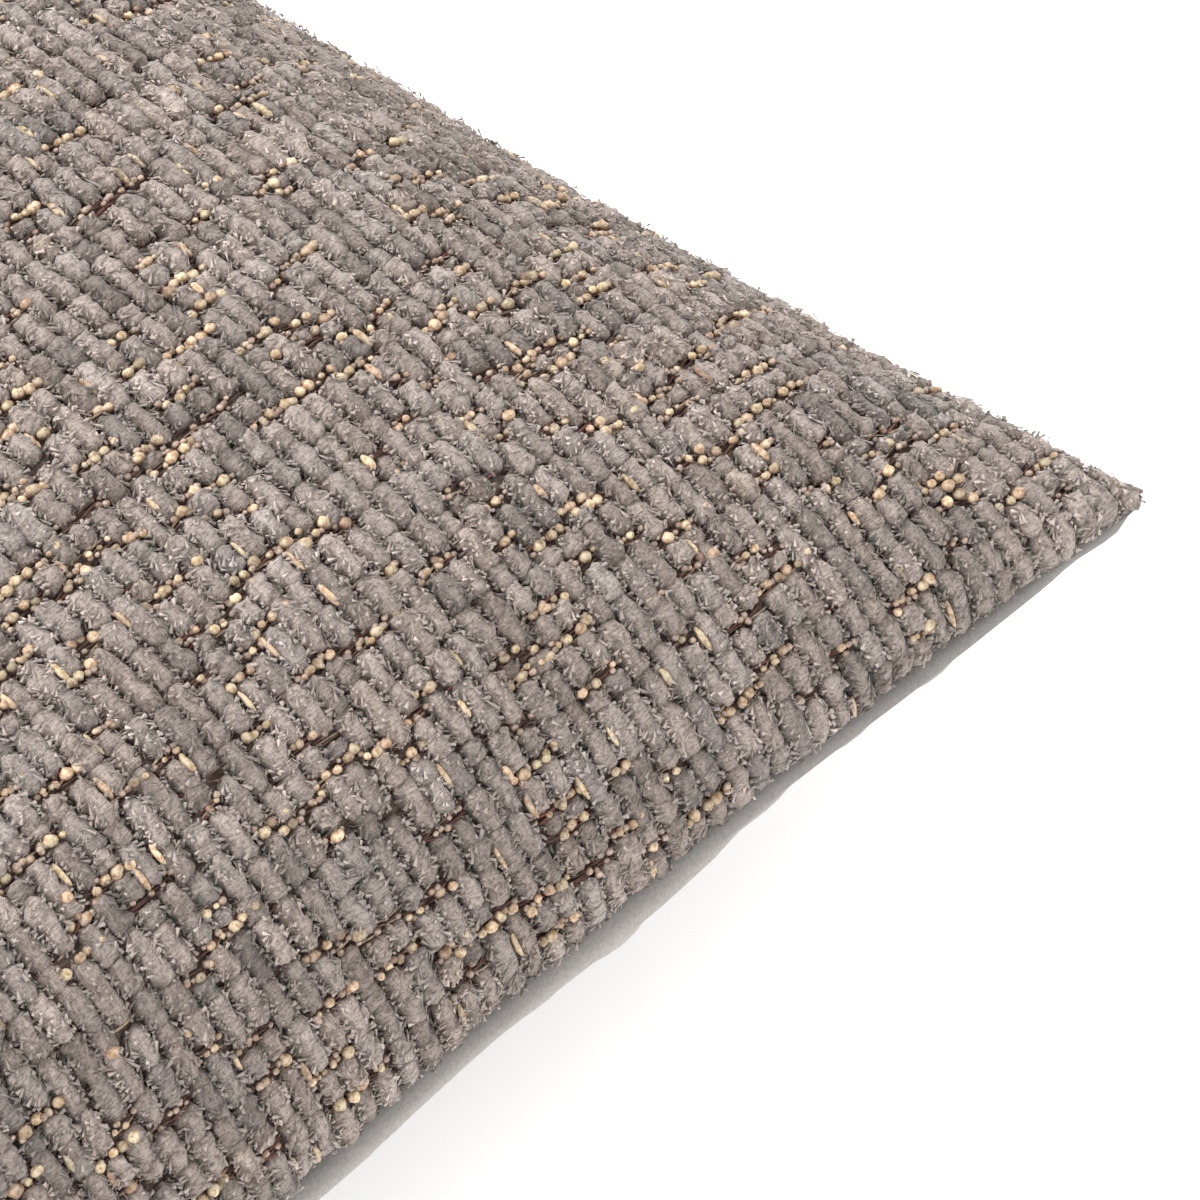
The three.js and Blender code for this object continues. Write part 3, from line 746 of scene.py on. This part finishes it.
def chenille(name, rows):
    """The chenille floats of some ribs: closed tufted puffs, each with its loose fibres."""
    rib, start, slots = rows[:, 0], rows[:, 1], rows[:, 2]
    count = len(rows)
    before, after = (
        np.where(is_open(rib, slot), OPEN_REACH, CLOSED_REACH) + rng.normal(0, 0.06, count)
        for slot in (start - 1, start + slots))
    centre_u = -1 + (start + (slots + after - before) / 2) * SLOT_PITCH
    centre_v = rib_v(rib + rng.normal(0, 0.05, count))
    half_u = (slots + before + after) / 2 * SLOT_PITCH
    half_v = RIB_PITCH * rng.uniform(0.45, 0.54, count)
    height = PILE_HEIGHT * rng.uniform(0.8, 1.08, count) * pile_share(centre_u, centre_v)
    height = height * np.where(slots <= 1, 0.85, 1.0)
    patches = waves(centre_u, centre_v, seed=21, count=12, lowest=8, highest=40)
    shade = rng.normal(1.0, 0.09, count) * (1 + 0.06 * patches)
    shade = np.where(rng.random(count) < DARK_FLOATS, shade * DARK_SHADE, shade)
    warm = rng.normal(0, 0.015, count)
    colour = PILE_COLOUR * np.stack([1 + warm, 1 + 0 * warm, 1 - warm], -1) * shade[:, None]

    def shaped(puff, along, angle, swell, least=0.0):
        """Fabric coordinates and height of points of the puffs with the given numbers."""
        full = np.maximum(np.clip(1 - np.abs(along) ** 6, 0, 1) ** 0.5, least) * swell
        side, lift = np.cos(angle), np.sin(angle)
        lift = np.where(lift < 0, lift * 0.35, lift)
        side = np.sign(side) * np.abs(side) ** 0.85
        u = centre_u[puff] + half_u[puff] * along
        v = centre_v[puff] + half_v[puff] * side * full
        return u, v, height[puff] * (PUFF_FOOT + (1 - PUFF_FOOT) * lift * full)

    def with_painted_shade(puff, h, light):
        # Painted shade: the pile is painted darker and browner the lower a point lies in it, as the
        # shade deep between the floats. light scales the colour further.
        depth = 0.42 + 0.58 * smoothstep(np.clip(h / PILE_HEIGHT, 0, 1) / 0.95)
        painted_brown_shade = depth[..., None] ** np.array([1.0, 1.06, 1.14])
        return colour[puff] * painted_brown_shade * light[..., None]

    along, angle, one = capsule(FLOAT_RINGS, FLOAT_AROUND)
    size = len(along)
    swell = 0.94 + rng.normal(0, 0.13, (count, size))
    puff = np.arange(count)[:, None] + np.zeros((1, size), int)
    u, v, h = shaped(puff, along[None] + 0 * swell, angle[None] + 0 * swell, swell)
    u = u + rng.normal(0, 0.12, u.shape) * SLOT_PITCH * (np.abs(along) < 1)
    body_points = front.at(u, v, h)
    wrap = np.abs(angle / math.pi - 1)[None] * 6 + 0 * u
    seed = rng.uniform(0, 900, count)
    body_yarn = np.stack([(u - centre_u[puff]) * front.width / 2 / MM, wrap, seed[puff]], -1)
    # Painted shade: the puffs' bodies are painted darker than their fibres, so that they show as dark
    # lines of shade between them.
    body_colour_and_shade = with_painted_shade(puff, h, 0.76 + 0 * h)
    local = np.stack(np.broadcast_arrays((along[None] + 1) / 2, wrap / 6), -1)
    body_uv = atlas(count, local, 0.0, 0.8)

    # Each fibre or lock is a thin pyramid that lies against the puff and leaves it at its tip.
    # Fine fibres have their base at the root. Locks have it at the tip, like a brush.
    hairs = np.repeat(np.arange(count), ((FIBRES + LOCKS) * (slots + 0.3)).astype(int))
    shape = len(hairs)
    lock = rng.random(shape) < LOCKS / (FIBRES + LOCKS)
    root_along = rng.uniform(-0.97, 0.97, shape)
    root_angle = rng.uniform(0.08, 0.92, shape) * math.pi
    away = np.where(rng.random(shape) < 0.8, np.sign(np.cos(root_angle)), -1)
    tip_angle = root_angle - away * rng.uniform(0.2, 1.0, shape)
    tip_shift = rng.normal(0.3, 1.1, shape) * SLOT_PITCH * 0.5 / half_u[hairs]
    tip_along = np.clip(root_along + tip_shift, -1.04, 1.04)
    swell = np.where(lock, rng.uniform(1.06, 1.36, shape), rng.uniform(1.08, 1.3, shape))
    root = np.stack(shaped(hairs, root_along, root_angle, 0.94, 0.3), -1)
    tip = np.stack(shaped(hairs, tip_along, tip_angle, swell, 0.45), -1)
    base = np.where(lock[:, None], tip, root)
    apex = np.where(lock[:, None], root, tip)
    wide = np.where(lock, rng.uniform(0.2, 0.42, shape), rng.uniform(0.09, 0.16, shape)) * MM
    thick = np.where(lock, rng.uniform(0.15, 0.35, shape), rng.uniform(0.12, 0.2, shape)) * MM
    run_u = (base[:, 0] - apex[:, 0]) * front.width / 2
    run_v = (base[:, 1] - apex[:, 1]) * front.length / 2
    run = np.maximum(np.hypot(run_u, run_v), 1e-6)
    aside = np.stack([wide * run_v / run * 2 / front.width,
                      -wide * run_u / run * 2 / front.length, 0 * wide], -1)
    above = np.stack([0 * thick, 0 * thick, thick], -1)
    fibre = np.stack([base - aside, base + aside, base + above, apex], 1)
    fibre_u, fibre_v, fibre_h = np.moveaxis(fibre, -1, 0)
    fibre_points = front.at(fibre_u, fibre_v, fibre_h)
    # Painted light and shade: each fibre and lock is painted lighter at its outer tip, as a
    # highlight, and darker at its root deep in the pile, as shade. The random factor is each fibre's
    # own tone.
    tone = np.where(lock[:, None], [1.02, 1.02, 1.1, 0.52], [0.7, 0.7, 0.8, 1.05])
    light = np.clip(rng.normal(1.0, 0.15, (shape, 1)), 0.6, 1.25) * tone
    of_hair = hairs[:, None] + np.zeros((1, 4), int)
    fibre_colour_and_light = with_painted_shade(of_hair, fibre_h, light)
    fibre_yarn = np.stack([0 * fibre_u, 0 * fibre_u, seed[of_hair]], -1)
    fibre_corner = np.array([[0.0, 0.0], [1.0, 0.0], [0.5, 0.4], [0.5, 1.0]])
    fibre_uv = atlas(shape, fibre_corner[None], 0.8, 1.0)
    fibre_faces = np.array([[0, 3, 1], [1, 3, 2], [0, 2, 3], [0, 1, 2]])

    points = np.concatenate([body_points.reshape(-1, 3), fibre_points.reshape(-1, 3)])
    faces = np.concatenate([
        repeated(one[:, ::-1], count, size), repeated(fibre_faces, shape, 4) + count * size])
    piece = mesh_object(name, points, faces)
    paint(piece, "tint", np.concatenate([body_colour_and_shade.reshape(-1, 3), fibre_colour_and_light.reshape(-1, 3)]))
    paint(piece, "yarn", np.concatenate([body_yarn.reshape(-1, 3), fibre_yarn.reshape(-1, 3)]))
    set_atlas(piece, np.concatenate([body_uv, fibre_uv]))
    finish_piece(piece, PLUSH)


BANDS = 21  # pieces that the chenille is made in, a few ribs in each
for band in range(BANDS):
    first, last = band * RIBS / BANDS, (band + 1) * RIBS / BANDS
    chenille(f"chenille_band_{band + 1:02d}", floats[(floats[:, 0] >= first) & (floats[:, 0] < last)])


STRAW = np.array([0.56, 0.47, 0.325])


def straw_colours(count):
    shade = np.clip(rng.normal(0.95, 0.2, (count, 1)), 0.4, 1.35)
    pinker = rng.uniform(-0.3, 1, (count, 1)) * np.array([[0.03, -0.03, -0.01]])
    return np.clip(STRAW * shade + pinker, 0.05, 1)


def beads(name, u, v, size_u, size_v, lift, colour, rings=5, around=7, bend=0.0):
    """Small closed knots of yarn lying on the cloth: how wide each is along the rib and
    across it, how high its middle stands, and how far it is bent."""
    count = len(u)
    along, angle, one = capsule(rings, around)
    bulk = np.sqrt(np.clip(1 - along**2, 0, 1))[None]
    rough = 1 + rng.normal(0, 0.11, (count, len(along)))
    thick = np.minimum(size_u, size_v)[:, None] / 2
    if size_u.mean() > size_v.mean():
        bent = bend * bulk * rng.normal(0, 1, (count, 1))
        du, dv = along[None], np.cos(angle)[None] * bulk * rough + bent
        one = one[:, ::-1]
    else:
        du, dv = np.cos(angle)[None] * bulk * rough, along[None]
    uu = u[:, None] + size_u[:, None] / front.width * du
    vv = v[:, None] + size_v[:, None] / front.length * dv
    hh = lift[:, None] + thick * np.sin(angle)[None] * bulk * rough
    points = front.at(uu + 0 * hh, vv + 0 * hh, hh)
    size = len(along)
    piece = mesh_object(name, points.reshape(-1, 3), repeated(one, count, size))
    # Painted shade: the sides of a bead go down between the floats, and they are painted darker and
    # browner there, as shade.
    low = 1 - smoothstep((np.sin(angle) * bulk[0] + 0.2) / 0.95)
    painted_brown_shade = 1 - low[:, None] * np.array([0.5, 0.6, 0.68])
    paint(piece, "tint", colour[:, None] * painted_brown_shade[None])
    set_atlas(piece, atlas(count, round_cell(along, angle)))
    finish_piece(piece, SLUB)


def in_parts(v, parts, *values):
    """The values of the items in each strip of the fabric, with the strip's number from 1."""
    strip = np.clip(((v + 1) / 2 * parts).astype(int), 0, parts - 1)
    return [(n + 1, [value[strip == n] for value in values]) for n in range(parts)]


def slubs():
    """Chains of straw beads: a thick straw warp comes up at a tie, on the rib and between it
    and the next ribs."""
    straw_warp = rng.random(WARPS) < 0.85
    at_tie = ties[straw_warp[ties[:, 1].astype(int)] & is_open(ties[:, 0], ties[:, 1])]
    at_tie = np.concatenate([at_tie, ties[rng.random(len(ties)) < 0.04]])
    rows = [at_tie]
    for step, chance in ((-0.5, 0.5), (0.5, 0.6), (1.0, 0.25)):
        some = at_tie[rng.random(len(at_tie)) < chance]
        rows.append(some + np.stack([step + 0 * some[:, 0], rng.normal(0, 0.12, len(some))], -1))
    rows = np.concatenate(rows)
    count = len(rows)
    u = slot_u(rows[:, 1] + rng.normal(0, 0.1, count))
    v = rib_v(rows[:, 0] + rng.normal(0, 0.07, count))
    wide = rng.uniform(0.9, 2.0, count) * MM
    long = wide * rng.uniform(1.02, 1.35, count)
    lift = PILE_HEIGHT * rng.uniform(0.42, 0.74, count) * pile_share(u, v)
    colour = straw_colours(count)
    for part, some in in_parts(v, 2, u, v, wide, long, lift, colour):
        beads(f"straw_slubs_{part}", *some)


def knots():
    """Small grey and rosy knots of the ground yarn between the floats."""
    rows = ties[is_open(ties[:, 0], ties[:, 1])]
    rows = np.repeat(rows, 3, axis=0)
    count = len(rows)
    u = slot_u(rows[:, 1] + rng.normal(0, 0.3, count))
    v = rib_v(rows[:, 0] + rng.choice([-0.5, -0.25, 0.0, 0.25, 0.5], count))
    wide = rng.uniform(0.8, 1.3, count) * MM
    lift = PILE_HEIGHT * rng.uniform(0.4, 0.65, count) * pile_share(u, v)
    shade = rng.uniform(0.7, 1.15, (count, 1))
    colour = np.array([0.44, 0.35, 0.29]) * shade
    for part, some in in_parts(v, 2, u, v, wide, wide * 1.15, lift, colour):
        beads(f"ground_knots_{part}", *some, rings=4, around=6)


def slivers():
    """Longer straw-coloured floats that lie beside a chenille float."""
    rows = floats[(floats[:, 2] >= 2) & (rng.random(len(floats)) < 0.12)]
    count = len(rows)
    u = -1 + (rows[:, 1] + rows[:, 2] * rng.uniform(0.3, 0.7, count)) * SLOT_PITCH
    v = rib_v(rows[:, 0] + 0.46 * rng.choice([-1, 1], count))
    wide = rng.uniform(2.6, 4.6, count) * MM
    long = rng.uniform(0.9, 1.5, count) * MM
    lift = PILE_HEIGHT * rng.uniform(0.6, 0.82, count) * pile_share(u, v)
    colour = straw_colours(count)
    beads("straw_slivers", u, v, wide, long, lift, colour, rings=6, around=7, bend=0.3)


def warp_threads():
    """Thin dark warps that bind the chenille down at every tie."""
    shown = is_open(ties[:, 0], ties[:, 1])
    rows = np.concatenate([np.repeat(ties[shown], 4, axis=0), ties[~shown]])
    count = len(rows)
    sideways = np.concatenate([np.tile([-0.48, -0.16, 0.16, 0.48], int(shown.sum())),
                               np.zeros(int((~shown).sum()))])
    sideways = sideways + rng.normal(0, 0.1, count)
    along, angle, one = capsule(5, 4)
    u = slot_u(rows[:, 1] + sideways)[:, None]
    u = u + rng.normal(0, 0.25, (count, 1)) * along[None] * SLOT_PITCH
    v = rib_v(rows[:, 0])[:, None] + along[None] * RIB_PITCH * 0.62
    radius = rng.uniform(0.14, 0.24, (count, 1)) * MM
    taper = np.sqrt(np.clip(1 - np.abs(along) ** 6, 0, 1))[None]
    u = u + 2 * radius / front.width * np.cos(angle)[None] * taper
    arch = PILE_HEIGHT * (0.12 + 0.36 * np.cos(along * math.pi / 2) ** 0.7)[None]
    h = arch * pile_share(u, v) + radius * np.sin(angle)[None] * taper
    points = front.at(u, v, h)
    kinds = np.array([[0.11, 0.06, 0.045], [0.16, 0.06, 0.05], [0.36, 0.27, 0.19]])
    colour = kinds[rng.choice(3, size=count, p=[0.55, 0.27, 0.18])]
    colour = colour * rng.uniform(0.7, 1.3, (count, 1))
    size = len(along)
    for part, (place_of, dye) in in_parts(v.mean(1), 3, points, colour):
        count = len(dye)
        piece = mesh_object(f"warp_threads_{part}", place_of.reshape(-1, 3),
                            repeated(one, count, size))
        paint(piece, "tint", np.repeat(dye, size, axis=0))
        set_atlas(piece, atlas(count, round_cell(along, angle)))
        finish_piece(piece, WARP)


slubs()
knots()
slivers()
warp_threads()


# ---------- threads and the zip's coils

TUBE_SIDES = 6


def tubes(name, replaced, lines, radius, colour, material=THREAD):
    """Closed round tubes along lines of points, all with the same number of points."""
    lines = np.asarray(lines)
    count, steps = lines.shape[:2]
    tangent = np.gradient(lines, axis=1)
    tangent /= np.linalg.norm(tangent, axis=-1, keepdims=True)
    helper = np.where(np.abs(tangent[..., 2:]) > 0.9, [1.0, 0.0, 0.0], [0.0, 0.0, 1.0])
    side = np.cross(tangent, helper)
    side /= np.linalg.norm(side, axis=-1, keepdims=True)
    up = np.cross(side, tangent)
    turn = np.linspace(0, 2 * math.pi, TUBE_SIDES, endpoint=False)
    circle = side[:, :, None] * np.cos(turn)[:, None] + up[:, :, None] * np.sin(turn)[:, None]
    rings = lines[:, :, None] + radius * circle
    points = np.concatenate([lines[:, :1], rings.reshape(count, -1, 3), lines[:, -1:]], 1)
    one = capsule(steps, TUBE_SIDES)[2]
    piece = mesh_object(name, points.reshape(-1, 3), repeated(one, count, points.shape[1]))
    paint(piece, "tint", np.tile(colour, (count * points.shape[1], 1)))
    share = np.concatenate([[0], np.repeat(np.linspace(0, 1, steps), TUBE_SIDES), [1]])
    circuit = np.concatenate([[0], np.tile(turn / (2 * math.pi), steps), [0]])
    set_atlas(piece, atlas(count, np.stack([share, circuit], -1)[None]))
    finish_piece(piece, material, replaced)


def outline_points(inset, sides, per_side=241):
    """Points along some sides of the outline, 0 to 3 from the -Y side counter-clockwise."""
    even = np.linspace(-1, 1, per_side)
    corners = [(even, 0 * even - 1), (0 * even + 1, even), (-even, 0 * even + 1),
               (0 * even - 1, -even)]
    line = []
    for side in sides:
        x, y = place(*corners[side], HALF - inset)
        line.append(np.stack([x, y], -1)[:-1])
    return np.concatenate(line)


def along_line(line, distance):
    """Points at given distances along a line of points."""
    steps = np.linalg.norm(np.diff(line, axis=0), axis=-1)
    length = np.concatenate([[0], np.cumsum(steps)])
    return np.stack([np.interp(distance, length, line[:, axis]) for axis in (0, 1)], -1)


def line_length(line):
    return np.linalg.norm(np.diff(line, axis=0), axis=-1).sum()


STITCH_PITCH = 3.0 * MM
STITCH_GAP = 0.5 * MM


def stitches(line, z, pitch=STITCH_PITCH, gap=STITCH_GAP):
    """Short straight stitches along a line, as lines of four points."""
    count = int(line_length(line) / pitch)
    start = np.arange(count) * pitch
    share = np.linspace(0, 1, 4)
    distance = start[:, None] + (pitch - gap) * share[None]
    flat = along_line(line, distance.ravel()).reshape(count, 4, 2)
    sag = 0.12 * MM * np.sin(share * math.pi)[None] + 0 * distance
    return np.concatenate([flat, (z + sag)[..., None]], -1)


SEWING = (0.33, 0.31, 0.3)
SEWN_SIDES = (1, 2, 3)  # all but the zipped side
tubes("seam_stitches", "seam_thread", stitches(outline_points(3.2 * MM, SEWN_SIDES), SEAM_Z),
      0.22 * MM, SEWING)


def zigzag(line_a, line_b, pitch, z):
    """One overlocked thread that goes to and fro between two lines."""
    count = int(line_length(line_a) / pitch) * 2
    pairs = np.arange(count) % 2
    share = np.linspace(0, 1, count)
    a = along_line(line_a, share * line_length(line_a))
    b = along_line(line_b, share * line_length(line_b))
    flat = np.where(pairs[:, None] == 0, a, b)
    lift = 0.25 * MM * np.where(np.arange(count) % 4 < 2, 1, -1)
    return np.concatenate([flat, (z + lift)[:, None]], -1)[None]


overlock_lines = [outline_points(inset * MM, SEWN_SIDES) for inset in (14.2, 17.8)]
tubes("overlock_stitches", "overlock_thread", zigzag(*overlock_lines, 2.6 * MM, SEAM_Z),
      0.18 * MM, SEWING)


COIL_PITCH = 1.3 * MM
COIL_WIRE = 0.3 * MM  # the monofilament's radius
COIL_STEPS = 12  # points in a turn of the coil


def coil(side_name):
    """One half of the coil zip: a round monofilament wound along the tape's edge."""
    low, high = np.array(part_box(f"zip_coil_{side_name}"))
    turns = int((high[0] - low[0]) / COIL_PITCH)
    steps = np.arange(turns * COIL_STEPS + 1)
    turn = steps / COIL_STEPS * 2 * math.pi
    middle = (low + high) / 2
    reach = (high - low) / 2 - COIL_WIRE
    x = middle[0] - reach[0] + 2 * reach[0] * steps / steps[-1]
    y = middle[1] + reach[1] * np.cos(turn)
    z = middle[2] + reach[2] * np.sin(turn)
    tubes(f"zip_coil_wire_{side_name}", f"zip_coil_{side_name}", np.stack([x, y, z], -1)[None],
          COIL_WIRE, (0.2, 0.19, 0.185), COIL)


def tape(side_name):
    """A woven tape with ribs across it."""
    low, high = np.array(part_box(f"zip_tape_{side_name}"))
    x = np.linspace(low[0], high[0], 661)
    y = np.linspace(low[1], high[1], 14)
    xx, yy = np.meshgrid(x, y, indexing="ij")
    rib = 0.06 * MM * np.cos(xx / (1.0 * MM) * 2 * math.pi)
    rib += 0.04 * MM * np.cos(yy / (1.6 * MM) * 2 * math.pi)
    inside = 0.12 * MM
    top = np.stack([xx, yy, high[2] - inside + rib], -1)
    under = np.stack([xx, yy, low[2] + inside - rib], -1)
    piece = shell_object(f"zip_tape_cloth_{side_name}", top, under)
    finish_piece(piece, TAPE, f"zip_tape_{side_name}")


def tape_stitches(side_name):
    low, high = np.array(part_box(f"zip_stitching_{side_name}"))
    _, y, z = (low + high) / 2
    rows = stitches(np.array([[low[0], y], [high[0], y]]), z)
    tubes(f"zip_stitches_{side_name}", f"zip_stitching_{side_name}", rows, 0.2 * MM, SEWING)


for side_name in ("front", "back"):
    coil(side_name)
    tape(side_name)
    tape_stitches(side_name)

for name in ("zip_slider", "zip_pull", "zip_bottom_stop", "zip_top_stop_front",
             "zip_top_stop_back"):
    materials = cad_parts[name].data.materials
    materials.clear()
    materials.append(METAL)


# ---------- the insert

def insert_shape(half, crown, floor, seed):
    """A grid of the insert's casing or filling on one side: crown is above the seam plane, and
    a negative crown goes down to the floor."""
    a, b = even_grid(129)
    s, t = rounded(a, b)
    x, y = place(s, t, half)
    share = crown_share(s, t)
    z = SEAM_Z + crown * share - 1.5 * MM * np.sign(crown) * share * (
        1 + waves(s, t, seed=seed, count=9, lowest=5, highest=16))
    return np.stack([x, y, np.maximum(z, floor)], -1)


def insert_panel(name, replaced, crown, floor, seed, flip):
    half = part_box(replaced)[1][0]
    outer = insert_shape(half, crown, floor, seed)
    inner = insert_shape(half - MM, crown - math.copysign(MM, crown), floor + 0.5 * MM, seed)
    piece = shell_object(name, outer, inner, flip)
    finish_piece(piece, CASING, replaced)


INSERT_DEPTH = 62 * MM  # under the seam, before the floor flattens it
insert_half, _, insert_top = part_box("insert_casing_top")[1]
insert_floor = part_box("insert_casing_bottom")[0][2]
insert_panel("insert_top_cloth", "insert_casing_top", insert_top - SEAM_Z, 0, 31, False)
insert_panel("insert_under_cloth", "insert_casing_bottom", -INSERT_DEPTH, insert_floor, 32, True)


def filling():
    """The insert's loose polyester fibre, as one lumpy closed body."""
    low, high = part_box("insert_filling")
    upper = insert_shape(high[0], high[2] - SEAM_Z - MM, 0, 41)
    lower = insert_shape(high[0], 2 * MM - INSERT_DEPTH, low[2] + 0.2 * MM, 42)
    upper[..., 2] += 0.1 * MM
    piece = shell_object("insert_fibre", upper, lower)
    finish_piece(piece, FIBRE, "insert_filling")


filling()

INSERT_SEWING = (0.7, 0.69, 0.66)
sewn_line, closing_line = (
    outline_points(HALF - insert_half + 3 * MM, sides) for sides in ((3, 0, 1), (2,)))
tubes("insert_seam_stitches", "insert_seam_thread", stitches(sewn_line, SEAM_Z),
      0.2 * MM, INSERT_SEWING)
tubes("insert_closing_stitches", "insert_closing_stitch",
      stitches(closing_line, SEAM_Z, 4.5 * MM, 1.0 * MM), 0.25 * MM, INSERT_SEWING)


# ---------- stage, light and camera

def floor():
    size = 6.0
    corners = np.array([(-size, -size, 0), (size, -size, 0), (size, size, 0), (-size, size, 0)])
    piece = mesh_object("floor", corners, np.array([[0, 1, 2, 3]]))
    material, _, shader = new_material("floor_paper", 0.8)
    shader.inputs["Base Color"].default_value = (0.97, 0.97, 0.97, 1)
    shader.inputs["Emission Color"].default_value = (1, 1, 1, 1)
    shader.inputs["Emission Strength"].default_value = 0.17
    piece.data.materials.append(material)


def area_light(name, location, power):
    light = bpy.data.lights.new(name, "AREA")
    light.shape = "DISK"
    light.size = 1.6
    light.energy = power
    lamp = linked(name, light)
    lamp.location = location
    lamp.rotation_mode = "QUATERNION"
    aim = Vector((0, 0, SEAM_Z)) - Vector(location)
    lamp.rotation_quaternion = aim.to_track_quat("-Z", "Y")


def studio():
    world = bpy.data.worlds.new("studio")
    world.use_nodes = True
    background = world.node_tree.nodes["Background"]
    background.inputs["Color"].default_value = (1, 1, 1, 1)
    background.inputs["Strength"].default_value = 1.3
    bpy.context.scene.world = world
    area_light("key", (-1.25, -0.7, 1.5), 58)
    area_light("fill", (1.6, -1.4, 1.6), 7)
    bpy.context.scene.view_settings.view_transform = "Standard"


def camera():
    """The camera looks down at the corner at +X +Y, from the side of the +X edge."""
    azimuth, elevation, roll = (math.radians(v) for v in (43.235, 54.681, -2.462))
    distance = 0.9217
    corner = Vector((HALF, HALF, SEAM_Z))
    corner_right, corner_up = 0.08637, 0.01593  # metres from the aim, in the camera's view
    away = Vector((math.sin(azimuth) * math.cos(elevation),
                   -math.cos(azimuth) * math.cos(elevation), math.sin(elevation)))
    level = Vector((math.cos(azimuth), math.sin(azimuth), 0))
    upward = away.cross(level)
    right = level * math.cos(roll) + upward * math.sin(roll)
    up = upward * math.cos(roll) - level * math.sin(roll)
    aim = corner - right * corner_right - up * corner_up
    data = bpy.data.cameras.new("camera")
    data.sensor_width = 36
    data.lens = 173.53
    data.clip_start, data.clip_end = 0.05, 50
    eye = linked("camera", data)
    eye.matrix_world = Matrix((right, up, away)).transposed().to_4x4()
    eye.location = aim + away * distance
    bpy.context.scene.camera = eye


floor()
studio()
camera()
